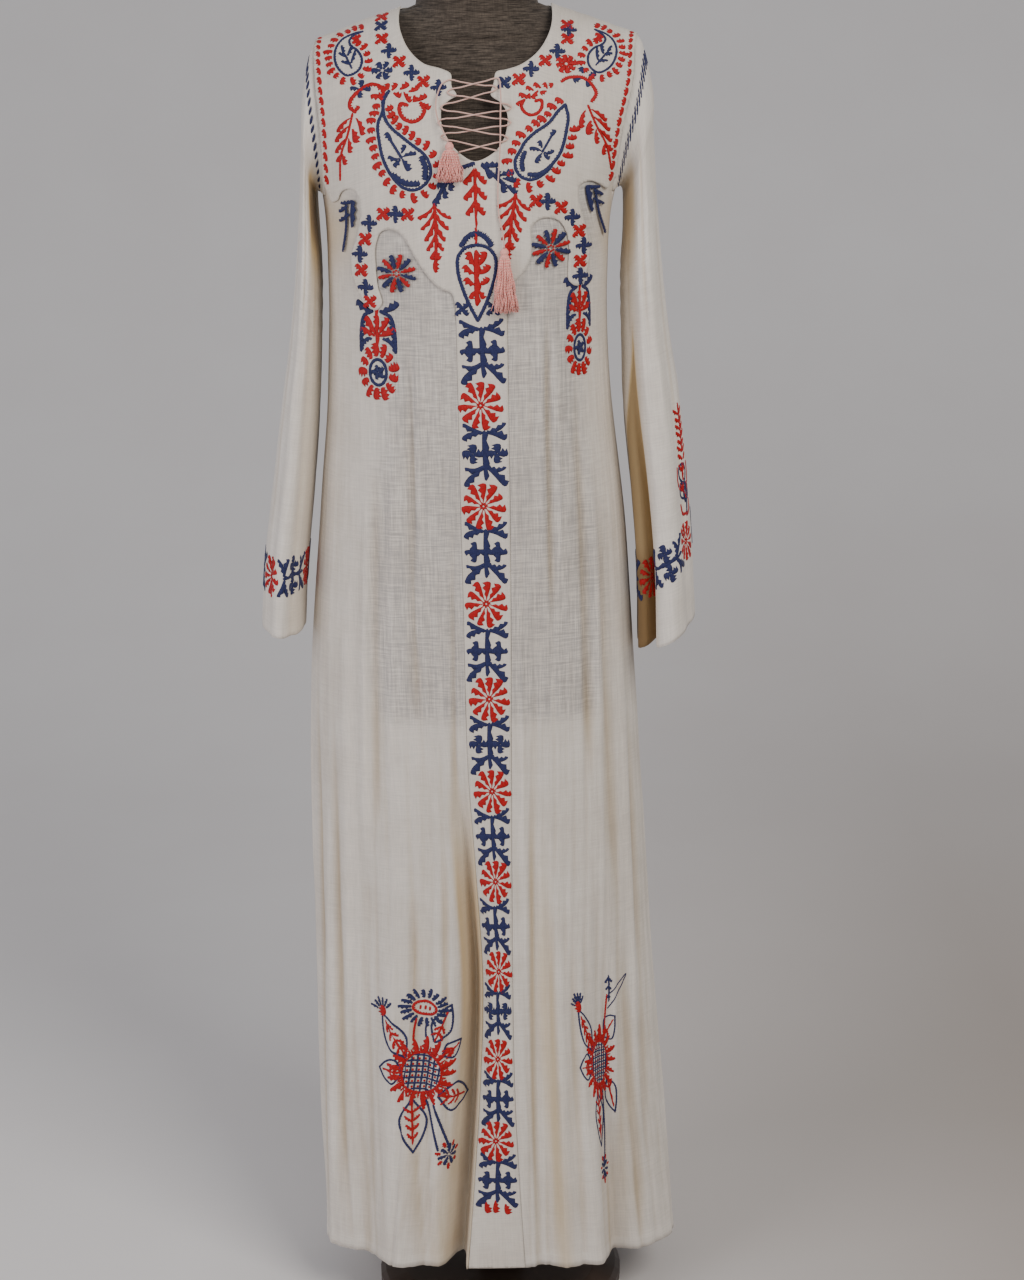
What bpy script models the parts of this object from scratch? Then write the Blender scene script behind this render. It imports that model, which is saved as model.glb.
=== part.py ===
"""A kaftan maxi dress standing on a limbless dress form.

Metres, +Z up. The origin is on the floor under the middle of the form's base, and the dress
faces -Y. Left and right are those of a viewer in front of it: left is -X.
The cloth is a wall that follows rings around the form. A bearing of 0 faces the front and a
quarter turn faces right.
"""

import math

import bmesh
import bpy
import numpy as np

WALL = 0.0015  # thickness of the cloth, as its solids carry it
SEAM = 0.0003  # gap between two pieces at a seam
SLEEVE_SEAM = 0.0004  # the same where a sleeve leaves its armhole
BAND_SEAM = 0.0004  # the same beside the placket
LAID = 0.0010  # gap under the yoke, which lies on the panels
LAID_AT_SHOULDER = 0.0005  # the same at the shoulder seams
LAID_AT_SIDE = 0.0017  # the same over the sides of the chest, where the panels bend most
SHOULDER_EASE = 0.4  # angle down the rounding over which the first of these gaps grows
SIDE_EASE = (0.10, 0.03)  # distance from the middle where the last one starts, and its run
SIDE_EASE_DOWN = (0.6, 0.4)  # the same down the rounding

HEM = 0.075
GUSSET_TIP = 1.277
ARMPIT = 1.335

# The shoulder line: height over x, with a rounded crest at the neck
SHOULDER_CREST = 1.548
SHOULDER_SLOPE = 0.38
SHOULDER_ROUND = 0.05
FRONT_DROP = 0.20  # height over which the front rounds away from the shoulder line
BACK_DROP = 0.17
SQUARENESS = 2.3  # exponent of the oval rings

# Rings of the worn cloth: height, and reach to the left, right, front and back
RINGS = (
    (0.075, 0.214, 0.214, 0.122, 0.122),
    (0.300, 0.214, 0.197, 0.120, 0.119),
    (0.480, 0.212, 0.184, 0.119, 0.116),
    (0.640, 0.210, 0.177, 0.119, 0.114),
    (0.820, 0.204, 0.167, 0.120, 0.113),
    (0.980, 0.189, 0.157, 0.122, 0.110),
    (1.120, 0.175, 0.142, 0.124, 0.105),
    (1.240, 0.170, 0.139, 0.126, 0.105),
    (1.335, 0.173, 0.148, 0.125, 0.105),
    (1.380, 0.181, 0.164, 0.124, 0.105),
    (1.430, 0.191, 0.181, 0.124, 0.105),
    (1.560, 0.197, 0.192, 0.124, 0.105),
)

# Armhole edge: share of the way from armpit to shoulder tip, and reach to the left and right
ARMHOLE = (
    (0.00, 0.168, 0.143),
    (0.25, 0.169, 0.153),
    (0.50, 0.174, 0.166),
    (0.75, 0.176, 0.170),
    (1.00, 0.175, 0.174),
)

# Top edge of a front panel, all of it under the yoke: share of the columns, x and height.
# A height above the shoulder line means the shoulder seam.
FRONT_TOP = (
    (0.00, 0.0270, 1.362),
    (0.12, 0.0420, 1.378),
    (0.24, 0.0500, 1.408),
    (0.34, 0.0500, 1.440),
    (0.46, 0.0680, 1.462),
    (0.58, 0.0900, 1.482),
    (0.70, 0.1120, 1.500),
    (0.80, 0.1300, 1.5095),
    (0.88, 0.1450, 1.5072),
    (0.94, 0.1560, 1.600),
    (1.00, 0.1745, 1.600),
)
# Back neckline: its reach to the side, and the angle down the back's rounding at its middle
BACK_NECK_REACH = 0.088
BACK_NECK_DROP = 0.82
BACK_NECK_CURVE = 1.3  # exponent of the curve between
# Where the back's columns run at the shoulders: share of the half width at the armpit, and at
# the top, where they lie close together at the ends of the neckline
BACK_COLUMNS = (
    (0.00, 0.00),
    (0.20, 0.23),
    (0.33, 0.37),
    (0.42, 0.43),
    (0.50, 0.475),
    (0.58, 0.525),
    (0.70, 0.63),
    (0.85, 0.81),
    (1.00, 1.00),
)

# Edges of the placket: height, x of its left edge, how far that edge is rolled in, x of its right
PLACKET = (
    (0.075, -0.037, 0.000, 0.031),
    (0.180, -0.028, 0.004, 0.026),
    (0.300, -0.019, 0.009, 0.022),
    (0.450, -0.013, 0.011, 0.0215),
    (0.570, -0.018, 0.006, 0.0225),
    (0.700, -0.0245, 0.000, 0.024),
    (0.900, -0.0260, 0.000, 0.0265),
    (1.250, -0.0270, 0.000, 0.0275),
    (1.400, -0.0270, 0.000, 0.0275),
)
PLACKET_TOP = 1.3615
# Where the band's columns run across it, and the share of its width that is rolled in
PLACKET_SHARES = (0.0, 0.08, 0.25, 0.5, 0.75, 1.0)
PLACKET_ROLL = 0.35

# The deep fold beside the placket. Each row is a column of the left panel: its distance from
# the placket where the fold starts and at the hem, and its share of the fold's depth
DEEP_FOLD = (
    (0.0000, 0.0000, 0.00),
    (0.0022, 0.0022, 0.00),
    (0.0044, 0.0040, 0.34),
    (0.0068, 0.0056, 0.76),
    (0.0096, 0.0095, 1.00),
    (0.0130, 0.0170, 0.86),
    (0.0165, 0.0250, 0.46),
    (0.0210, 0.0320, 0.12),
    (0.0300, 0.0450, -0.07),
    (0.0450, 0.0640, -0.11),
    (0.0650, 0.0880, -0.06),
)
# Height and depth of that fold
DEEP_FOLD_DEPTH = ((0.075, 0.044), (0.200, 0.043), (0.450, 0.033), (0.600, 0.015), (0.720, 0.0))
DEEP_FOLD_RUN = 0.45  # height over which its columns spread to their places at the hem
EDGE_ROLL = 0.02  # width of the left panel's edge that is rolled in with the placket
# Where the columns run: of the left panel past its deep fold, of the right one, of the back
LEFT_SHARES = (0.12, 0.26, 0.42, 0.58, 0.74, 0.88, 0.975, 1.0)
RIGHT_SHARES = (
    0.0, 0.04, 0.13, 0.23, 0.33, 0.42, 0.49, 0.54, 0.58, 0.63, 0.70, 0.79, 0.88, 0.97, 1.0,
)
BACK_SHARES = (0.0, 0.015, *np.linspace(0.065, 0.935, 19), 0.985, 1.0)

# Other folds of the body: bearing at the hem and at the top end, half width in degrees, the
# heights between which it shows, and its height out of the ring (below 0: a trough)
BODY_FOLDS = (
    (48.0, 40.0, 4.5, -0.30, 0.62, 0.016),
    (57.0, 51.0, 5.0, -0.30, 0.62, -0.030),
    (24.0, 21.0, 5.0, -0.20, 1.16, -0.007),
    (36.0, 30.0, 5.0, -0.20, 0.80, 0.008),
    (78.0, 76.0, 6.0, -0.20, 1.05, 0.007),
    (-38.0, -29.0, 4.5, -0.20, 1.18, -0.009),
    (-50.0, -41.0, 5.0, -0.20, 1.05, 0.008),
    (-62.0, -56.0, 5.5, -0.20, 0.98, -0.012),
    (-76.0, -72.0, 5.0, -0.20, 0.60, 0.008),
    (104.0, 106.0, 6.0, -0.20, 0.75, -0.012),
    (122.0, 126.0, 6.0, -0.20, 1.10, 0.012),
    (141.0, 147.0, 6.0, -0.20, 1.18, -0.016),
    (160.0, 164.0, 6.0, -0.20, 1.00, 0.014),
    (180.0, 180.0, 5.5, -0.20, 1.20, -0.014),
    (202.0, 197.0, 6.0, -0.20, 0.94, 0.014),
    (220.0, 212.0, 6.0, -0.20, 1.18, -0.015),
    (239.0, 233.0, 6.0, -0.20, 1.10, 0.011),
    (257.0, 254.0, 6.0, -0.20, 0.72, -0.011),
)

# Sleeve rings below the armhole: share of the length, x and height of the outer edge, x and
# height of the inner edge, half depth front to back, and y of the middle
SLEEVE_RINGS = {
    "left": (
        (0.05, 0.1890, 1.455, 0.1785, 1.338, 0.061, 0.006),
        (0.15, 0.1935, 1.400, 0.1810, 1.320, 0.066, 0.008),
        (0.26, 0.1975, 1.338, 0.1795, 1.288, 0.070, 0.008),
        (0.38, 0.2035, 1.268, 0.1780, 1.244, 0.073, 0.006),
        (0.51, 0.2135, 1.186, 0.1810, 1.172, 0.075, 0.003),
        (0.64, 0.2270, 1.105, 0.1860, 1.096, 0.077, 0.000),
        (0.77, 0.2405, 1.015, 0.1950, 1.005, 0.079, -0.003),
        (0.90, 0.2540, 0.922, 0.2060, 0.913, 0.081, -0.006),
        (1.00, 0.2590, 0.858, 0.2110, 0.848, 0.083, -0.008),
    ),
    "right": (
        (0.05, 0.1880, 1.452, 0.1545, 1.338, 0.061, 0.006),
        (0.15, 0.1905, 1.400, 0.1575, 1.320, 0.066, 0.008),
        (0.26, 0.1935, 1.338, 0.1570, 1.288, 0.070, 0.008),
        (0.38, 0.1985, 1.268, 0.1545, 1.246, 0.074, 0.005),
        (0.51, 0.2070, 1.188, 0.1550, 1.174, 0.077, 0.001),
        (0.64, 0.2195, 1.105, 0.1570, 1.092, 0.080, -0.004),
        (0.77, 0.2280, 1.015, 0.1650, 1.000, 0.083, -0.009),
        (0.90, 0.2340, 0.925, 0.1710, 0.908, 0.086, -0.014),
        (1.00, 0.2370, 0.862, 0.1720, 0.826, 0.088, -0.016),
    ),
}
# Sleeve folds: turn around the sleeve (0 outer, 0.25 front, 0.5 inner) at its start and at the
# cuff, half width, share of the length where it starts and is whole, and its height
SLEEVE_FOLDS = {
    "left": (
        (0.17, 0.16, 0.030, 0.25, 0.70, -0.006),
        (0.33, 0.34, 0.030, 0.15, 0.60, -0.007),
        (0.62, 0.64, 0.035, 0.20, 0.60, -0.008),
        (0.82, 0.84, 0.035, 0.25, 0.70, 0.005),
    ),
    "right": (
        (0.36, 0.365, 0.024, 0.42, 0.92, -0.030),
        (0.43, 0.435, 0.022, 0.42, 0.92, 0.006),
        (0.15, 0.13, 0.030, 0.30, 0.70, -0.006),
        (0.64, 0.66, 0.035, 0.20, 0.60, -0.009),
        (0.84, 0.86, 0.035, 0.25, 0.70, 0.005),
    ),
}
FRONT_TURN, BACK_TURN = 0.43, 0.57  # turns at which the armhole's front and back edges end
SLEEVE_STRIP = 0.0030  # width of the strip that runs out along the body from the armhole
ARMHOLE_STEP = 0.002  # distance along the chest over which the strip's direction is read
CORNER_TURNS = 0.012  # turns from those edges within which the strip also leans outward
SLEEVE_SHARES = (0, 0.03, 0.08, 0.15, 0.23, 0.32, 0.41, 0.5, 0.59, 0.68, 0.77, 0.86, 0.94, 1.0)

# The dress form's torso: height, half width, reach to front and back. Its shoulders slope as
# the cloth's do, and round off within SHOULDER_DROP.
TORSO = (
    (0.760, 0.128, 0.088, 0.088),
    (0.800, 0.134, 0.094, 0.094),
    (0.880, 0.139, 0.100, 0.099),
    (0.960, 0.136, 0.099, 0.097),
    (1.040, 0.124, 0.090, 0.086),
    (1.120, 0.113, 0.083, 0.078),
    (1.200, 0.118, 0.097, 0.080),
    (1.270, 0.128, 0.114, 0.085),
    (1.330, 0.134, 0.112, 0.089),
    (1.380, 0.142, 0.104, 0.091),
    (1.430, 0.153, 0.092, 0.086),
    (1.470, 0.164, 0.084, 0.079),
    (1.499, 0.1695, 0.079, 0.074),
    (1.560, 0.1695, 0.079, 0.074),
)
# Its neck: height, half width, reach to front and back
NECK = (
    (1.500, 0.0690, 0.0545, 0.0535),
    (1.520, 0.0680, 0.0545, 0.0535),
    (1.535, 0.0660, 0.0550, 0.0540),
    (1.545, 0.0640, 0.0555, 0.0545),
    (1.560, 0.0590, 0.0555, 0.0545),
    (1.585, 0.0560, 0.0550, 0.0545),
    (1.610, 0.0545, 0.0540, 0.0540),
)
FORM_HEIGHTS = (
    0.760, 0.800, 0.880, 0.960, 1.040, 1.120, 1.200, 1.270, 1.330, 1.380, 1.430, 1.465, 1.485,
    1.494, 1.499, 1.504, 1.510, 1.517, 1.525, 1.533, 1.540, 1.549, 1.560, 1.585, 1.610,
)
FORM_SIDES = 32
FORM_CLEARANCE = 0.0006  # under the cloth at the shoulders
SHOULDER_DROP = 0.16
NECK_BLEND = 6  # exponent with which the neck runs into the shoulders
CAP_HEIGHT = 0.012
POLE_RADIUS = 0.016
BASE_RADIUS = 0.150
BASE_HEIGHT = 0.022

# Yoke outline, from its middle down each side's scallops: x and height
YOKE_LEFT = (
    (-0.0270, 1.207),
    (-0.0300, 1.238),
    (-0.0420, 1.243),
    (-0.0570, 1.258),
    (-0.0680, 1.275),
    (-0.0770, 1.292),
    (-0.0840, 1.301),
    (-0.0940, 1.305),
    (-0.1040, 1.302),
    (-0.1095, 1.291),
    (-0.1110, 1.266),
    (-0.1095, 1.245),
    (-0.1065, 1.224),
    (-0.1120, 1.219),
    (-0.1210, 1.223),
    (-0.1300, 1.236),
    (-0.1370, 1.256),
    (-0.1370, 1.277),
    (-0.1310, 1.294),
    (-0.1260, 1.331),
    (-0.1285, 1.341),
    (-0.1370, 1.346),
    (-0.1460, 1.342),
    (-0.1510, 1.333),
    (-0.1570, 1.330),
)
YOKE_RIGHT = (
    (0.0275, 1.207),
    (0.0290, 1.246),
    (0.0380, 1.252),
    (0.0470, 1.262),
    (0.0525, 1.274),
    (0.0540, 1.290),
    (0.0545, 1.306),
    (0.0600, 1.312),
    (0.0710, 1.315),
    (0.0830, 1.311),
    (0.0905, 1.299),
    (0.0935, 1.283),
    (0.0925, 1.262),
    (0.0940, 1.246),
    (0.1010, 1.241),
    (0.1080, 1.244),
    (0.1135, 1.257),
    (0.1150, 1.281),
    (0.1120, 1.298),
    (0.1070, 1.319),
    (0.1040, 1.334),
    (0.1065, 1.347),
    (0.1160, 1.351),
    (0.1260, 1.347),
    (0.1340, 1.341),
)
# Neckline and keyhole, from the left shoulder to the right one: x and height
YOKE_NECK = (
    (-0.0810, 1.600),
    (-0.0800, 1.506),
    (-0.0700, 1.486),
    (-0.0550, 1.473),
    (-0.0350, 1.467),
    (-0.0275, 1.463),
    (-0.0265, 1.450),
    (-0.0215, 1.441),
    (-0.0280, 1.437),
    (-0.0360, 1.430),
    (-0.0380, 1.416),
    (-0.0320, 1.399),
    (-0.0190, 1.383),
    (-0.0040, 1.375),
    (0.0110, 1.380),
    (0.0240, 1.392),
    (0.0300, 1.408),
    (0.0300, 1.424),
    (0.0230, 1.434),
    (0.0140, 1.441),
    (0.0170, 1.453),
    (0.0200, 1.464),
    (0.0300, 1.466),
    (0.0460, 1.471),
    (0.0650, 1.485),
    (0.0770, 1.505),
    (0.0790, 1.600),
)
YOKE_CELL = 0.0150
YOKE_SHEET = (0.36, 0.38)  # the flat sheet that it is cut from
YOKE_SCALE = 0.16  # metres on that sheet for each radian of rounding
YOKE_WALL = 0.0012
YOKE_MARGIN = 0.0015  # width of the panel that shows beside the yoke at the armhole
NECK_MARGIN = 0.00005  # the least that its edge lies under the shoulder line
SHOULDER_EDGE = 0.004  # angle down the rounding at which the yoke ends on the shoulders
SHOULDER_SEAM = 0.0035  # the same for the panels
SHOULDER_X = (0.095, 0.165)  # where that edge runs

# The lace: how far out of the cloth's outer face its middle lies at the holes, and where the
# first and second cords cross
LACE_RADIUS = 0.0008
LACE_LIFT = 0.0037
LACE_CROSSING = {"left": -0.0012, "right": 0.0016}
LACE_TURN = 0.0012  # half the height of the turn at a hole
LACE_DIP = 0.0004  # how much nearer the cloth the turn's middle lies
# Holes that each cord passes, from the one where its tail starts: x and height
LACE_HOLES = {
    "left": (
        (-0.0290, 1.4560),
        (0.0190, 1.4470),
        (-0.0370, 1.4290),
        (0.0330, 1.4130),
        (-0.0370, 1.4000),
        (0.0190, 1.3840),
    ),
    "right": (
        (0.0215, 1.4570),
        (-0.0300, 1.4440),
        (0.0340, 1.4280),
        (-0.0400, 1.4140),
        (0.0300, 1.3970),
        (-0.0200, 1.3830),
    ),
}
# Each cord's tail, from its tassel up to its first hole: x, height and lift
LACE_TAILS = {
    "left": (
        (-0.0305, 1.3940, 0.0105),
        (-0.0340, 1.4020, 0.0085),
        (-0.0400, 1.4150, 0.0075),
        (-0.0425, 1.4280, 0.0068),
        (-0.0405, 1.4420, 0.0056),
        (-0.0350, 1.4530, 0.0044),
    ),
    "right": (
        (0.0245, 1.2860, 0.0105),
        (0.0235, 1.3010, 0.0070),
        (0.0200, 1.3200, 0.0050),
        (0.0195, 1.3450, 0.0050),
        (0.0210, 1.3700, 0.0070),
        (0.0225, 1.3950, 0.0085),
        (0.0230, 1.4200, 0.0085),
        (0.0235, 1.4420, 0.0075),
    ),
}
# Tassels: x and height of the top of the head, height of the whole, half width at the foot,
# how far the head's middle lies out of the cloth, and how far out the strands' ends do
TASSELS = {
    "left": (-0.0290, 1.3935, 0.040, 0.0125, 0.0105, 0.0130),
    "right": (0.0245, 1.2855, 0.068, 0.0135, 0.0105, 0.0095),
}
TASSEL_CELLS = (5, 4)  # strands across and deep
TASSEL_HEAD = 0.0040
STRAND_SHARES = (0.45, 1.0)
STRAND_GAP = 0.00016  # half the gap between two strands at the head
STRAND_SWAY = 0.0006
STRAND_TAPER = 0.25
STRAND_UNEVEN = 0.08  # share of the length by which strands differ
STRAND_CURVE = 1.3  # exponent of their spread to the sides
STRAND_DEPTH = 0.5  # how much they spread to the front and back
HEAD_PROFILE = ((0.0, 1.0), (0.0015, 1.10), (0.0040, 1.05), (0.0060, 0.80), (0.0075, 0.62))
HEAD_HEIGHT = 0.0075

COLOURS = {
    "gauze": ((0.72, 0.68, 0.60), 0.9, 0.0),
    "yoke_cloth": ((0.76, 0.73, 0.66), 0.85, 0.0),
    "placket_cloth": ((0.75, 0.72, 0.64), 0.85, 0.0),
    "sleeve_gauze": ((0.74, 0.70, 0.61), 0.9, 0.0),
    "lace_cord": ((0.80, 0.60, 0.56), 0.7, 0.0),
    "tassel_yarn": ((0.83, 0.47, 0.44), 0.8, 0.0),
    "form_linen": ((0.085, 0.070, 0.060), 0.9, 0.0),
    "form_wood": ((0.035, 0.022, 0.016), 0.5, 0.0),
    "form_metal": ((0.030, 0.026, 0.024), 0.4, 0.8),
}


def smooth_rows(table, at):
    """The columns of a table after its first, read at `at` along a smooth curve."""
    rows = np.asarray(table, float)
    knots, values = rows[:, 0], rows[:, 1:]
    slopes = np.gradient(values, knots, axis=0)
    at = np.clip(np.asarray(at, float), knots[0], knots[-1])
    cell = np.clip(np.searchsorted(knots, at) - 1, 0, len(knots) - 2)
    width = (knots[cell + 1] - knots[cell])[..., None]
    t = (at - knots[cell])[..., None] / width
    found = (
        (1 + 2 * t) * (1 - t) ** 2 * values[cell]
        + t * (1 - t) ** 2 * width * slopes[cell]
        + t**2 * (3 - 2 * t) * values[cell + 1]
        + t**2 * (t - 1) * width * slopes[cell + 1]
    )
    return np.moveaxis(found, -1, 0)


def ease(value):
    """0 below 0, 1 above 1, and a smooth step between."""
    t = np.clip(value, 0.0, 1.0)
    return t * t * (3 - 2 * t)


def shoulder_height(x):
    """Height of the shoulder line over x."""
    return SHOULDER_CREST - SHOULDER_SLOPE * (np.hypot(x, SHOULDER_ROUND) - SHOULDER_ROUND)


def rounding(x, height, drop):
    """How much of its depth the cloth has at a height: 0 on the shoulder line, 1 a drop lower."""
    short = np.clip(1 - (shoulder_height(x) - height) / drop, 0.0, 1.0)
    return np.sqrt(np.maximum(1 - short**2, 0.0))


def fold_offset(bearing, height):
    """How far the folds move the cloth out of its ring."""
    turn = np.degrees(bearing)
    out = np.zeros(np.broadcast(turn, height).shape)
    for hem_at, top_at, spread, low, high, depth in BODY_FOLDS:
        share = np.clip((height - HEM) / (high - HEM), 0.0, 1.0)
        centre = hem_at + (top_at - hem_at) * share
        away = (turn - centre + 180) % 360 - 180
        strength = 1 - ease((height - low) / (high - low))
        out += depth * strength * np.exp(-((away / spread) ** 2))
    return out


def body_point(bearing, height, inward=0.0):
    """The outer face of the worn cloth, moved in by `inward` beside its folds."""
    bearing, height = np.broadcast_arrays(np.asarray(bearing, float), np.asarray(height, float))
    left, right, front, back = smooth_rows(RINGS, height)
    across, ahead = np.sin(bearing), np.cos(bearing)
    wide = np.where(across > 0, right, left)
    deep = np.where(ahead > 0, front, back)
    pull = (np.abs(across) / wide) ** SQUARENESS + (np.abs(ahead) / deep) ** SQUARENESS
    radius = pull ** (-1 / SQUARENESS)
    x, y = radius * across, -radius * ahead
    normal_x = np.sign(across) * np.abs(x / wide) ** (SQUARENESS - 1) / wide
    normal_y = -np.sign(ahead) * np.abs(y / deep) ** (SQUARENESS - 1) / deep
    length = np.hypot(normal_x, normal_y)
    offset = (fold_offset(bearing, height) - inward) / length
    drop = np.where(ahead > 0, FRONT_DROP, BACK_DROP)
    rounded = y * rounding(x, height, drop)
    return np.stack([x + offset * normal_x, rounded + offset * normal_y, height], -1)


def bearing_at(x, height, back=False):
    """The bearing at which a ring passes x, on the front or the back."""
    left, right, front, rear = smooth_rows(RINGS, height)
    wide = np.where(np.asarray(x) > 0, right, left)
    share = np.clip(np.abs(x) / wide, 0.0, 1.0)
    deep = (rear if back else front) * (1 - share**SQUARENESS) ** (1 / SQUARENESS)
    return np.arctan2(x, -deep if back else deep) % (2 * math.pi) if back else np.arctan2(x, deep)


def chest_point(x, down, back=False):
    """The cloth over the shoulders: `down` is the angle down its rounding, from the crest."""
    drop = BACK_DROP if back else FRONT_DROP
    fall = np.where(down < math.pi / 2, 1 - np.cos(down), 1 + down - math.pi / 2)
    height = shoulder_height(x) - drop * fall
    left, right, front, rear = smooth_rows(RINGS, height)
    wide = np.where(x > 0, right, left)
    share = np.clip(np.abs(x) / wide, 0.0, 1.0)
    deep = (rear if back else front) * (1 - share**SQUARENESS) ** (1 / SQUARENESS)
    round_off = np.sin(np.minimum(down, math.pi / 2))
    y = deep * round_off * (1 if back else -1)
    return np.stack([x, y, height], -1)


def down_at(x, height, back=False):
    """The angle down the rounding at which the cloth passes a height."""
    fall = (shoulder_height(x) - height) / (BACK_DROP if back else FRONT_DROP)
    fall = np.maximum(fall, 0.0)
    return np.where(fall < 1, np.arccos(1 - np.minimum(fall, 1.0)), fall - 1 + math.pi / 2)


def gusset_angle(height):
    """Half the angle that the underarm gussets fill: front left, front right, back left, right."""
    share = np.clip((np.asarray(height) - GUSSET_TIP) / (ARMPIT - GUSSET_TIP), 0.0, 1.0)
    edge_left, edge_right = smooth_rows(ARMHOLE, 0.0)
    angles = {}
    for side, edge, sign in (("left", edge_left, -1), ("right", edge_right, 1)):
        front = math.pi / 2 - abs(float(bearing_at(sign * edge, ARMPIT)))
        rear = float(bearing_at(sign * edge, ARMPIT, back=True))
        rear = rear - math.pi / 2 if sign > 0 else 3 * math.pi / 2 - rear
        angles[side] = (front * share, rear * share)
    return angles


def in_collection(obj, name):
    """Puts an object in a collection, made on first use."""
    if name not in bpy.data.collections:
        bpy.context.scene.collection.children.link(bpy.data.collections.new(name))
    for other in list(obj.users_collection):
        other.objects.unlink(obj)
    bpy.data.collections[name].objects.link(obj)


def material(name):
    """A plain finish for one kind of piece, made on first use."""
    colour, roughness, metallic = COLOURS[name]
    made = bpy.data.materials.get(name)
    if made is None:
        made = bpy.data.materials.new(name)
        made.use_nodes = True
        shader = made.node_tree.nodes["Principled BSDF"]
        shader.inputs["Base Color"].default_value = (*colour, 1)
        shader.inputs["Roughness"].default_value = roughness
        shader.inputs["Metallic"].default_value = metallic
        made.diffuse_color = (*colour, 1)
    return made


def add_mesh(name, points, faces, finish):
    """A new object from points and faces, in the dress's collection."""
    mesh = bpy.data.meshes.new(name)
    mesh.from_pydata([tuple(p) for p in np.reshape(points, (-1, 3))], [], faces)
    mesh.validate()
    mesh.shade_smooth()
    mesh.materials.append(material(finish))
    obj = bpy.data.objects.new(name, mesh)
    bpy.context.scene.collection.objects.link(obj)
    in_collection(obj, "kaftan_dress")
    return obj


def grid_faces(rows, columns, closed=False):
    """Quads over a grid of points whose rows run along its first index."""
    across = columns if closed else columns - 1
    faces = []
    for row in range(rows - 1):
        for column in range(across):
            after = (column + 1) % columns
            low, high = row * columns, (row + 1) * columns
            faces.append((low + column, low + after, high + after, high + column))
    return faces


def add_wall(name, points, finish, wall=WALL, closed=False, flip=False):
    """A cloth wall whose outer face is a grid of points, made solid towards the form."""
    rows, columns = points.shape[:2]
    faces = grid_faces(rows, columns, closed)
    if flip:
        faces = [face[::-1] for face in faces]
    obj = add_mesh(name, points, faces, finish)
    solid = obj.modifiers.new("wall", "SOLIDIFY")
    solid.thickness = wall
    solid.offset = -1
    return obj


def skirt_heights():
    """Heights of the rows from the hem to the armpit, close together at the hem and gusset."""
    low = np.array([HEM, 0.085, 0.12, 0.18, 0.25, 0.33, 0.41, 0.49, 0.56, 0.62, 0.68, 0.74])
    high = np.array([0.83, 0.93, 1.03, 1.12, 1.20, GUSSET_TIP, 1.306, ARMPIT - 0.003, ARMPIT])
    return np.concatenate([low, high])


# Shares of the way up from the armpit to the shoulders and neck, close together at the seam
CHEST_CLIMBS = (0.15, 0.31, 0.47, 0.63, 0.79, 0.92, 0.985, 1.0)
GUSSET_COLUMNS = 7
GUSSET_HEIGHTS = (GUSSET_TIP + 0.008, 1.306, ARMPIT - 0.003, ARMPIT)


def front_panel(side):
    """A front panel, from the placket to the side seam, armhole, shoulder and neck."""
    sign = -1 if side == "left" else 1
    heights = skirt_heights()
    left_x, rolled, right_x = smooth_rows(PLACKET, heights)
    edge_x = (left_x if sign < 0 else right_x) + sign * BAND_SEAM
    edge = bearing_at(edge_x, heights)
    front, _ = gusset_angle(heights)[side]
    reach = np.abs(body_point(math.pi / 2 * sign, heights)[:, 0])
    seam = math.pi / 2 - front - SEAM / 2 / reach
    seam = np.where(heights > GUSSET_TIP, seam - SEAM / 2 / reach, seam)
    if side == "left":
        fold = np.array(DEEP_FOLD)
        depth = smooth_rows(DEEP_FOLD_DEPTH, heights)[0]
        low = ease((DEEP_FOLD_DEPTH[-1][0] - heights) / DEEP_FOLD_RUN)
        away = fold[:, 0] + (fold[:, 1] - fold[:, 0]) * low[:, None]
        near_x = np.abs(edge_x)[:, None] + away
        inward = depth[:, None] * fold[:, 2]
        inward = inward + rolled[:, None] * (1 - ease(away / EDGE_ROLL))
        near = np.abs(bearing_at(sign * near_x, heights[:, None]))
        far = near[:, -1:] + (seam[:, None] - near[:, -1:]) * np.array(LEFT_SHARES)
        bearings = np.concatenate([near, far], 1)
        inward = np.concatenate([inward, np.zeros_like(far)], 1)
    else:
        bearings = np.abs(edge)[:, None] + (seam - np.abs(edge))[:, None] * np.array(RIGHT_SHARES)
        inward = np.zeros_like(bearings)
    skirt = body_point(sign * bearings, heights[:, None], inward)
    return np.concatenate([skirt, chest_rows(side, skirt[-1])], 0)


def chest_rows(side, armpit_row):
    """The rows of a front panel above its armpit row."""
    sign = -1 if side == "left" else 1
    start_x = np.abs(armpit_row[:, 0])
    share = (start_x - start_x[0]) / (start_x[-1] - start_x[0])
    top = np.array(FRONT_TOP)
    top_x = np.interp(share, top[:, 0], top[:, 1])
    top_x[0] = start_x[0]
    top_height = np.interp(share, top[:, 0], top[:, 2])
    crest = shoulder_height(top_x)
    top_down = down_at(top_x, np.minimum(top_height, crest))
    top_down = np.maximum(top_down, SHOULDER_SEAM)
    start_down = down_at(start_x, ARMPIT)
    rows = []
    for climb in CHEST_CLIMBS:
        x = start_x + (top_x - start_x) * climb
        hole_x = smooth_rows(ARMHOLE, climb)[0 if sign < 0 else 1]
        x = x + (hole_x - x[-1]) * share**3
        down = start_down + (top_down - start_down) * climb
        rows.append(chest_point(sign * x, down))
    return np.array(rows)


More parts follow.
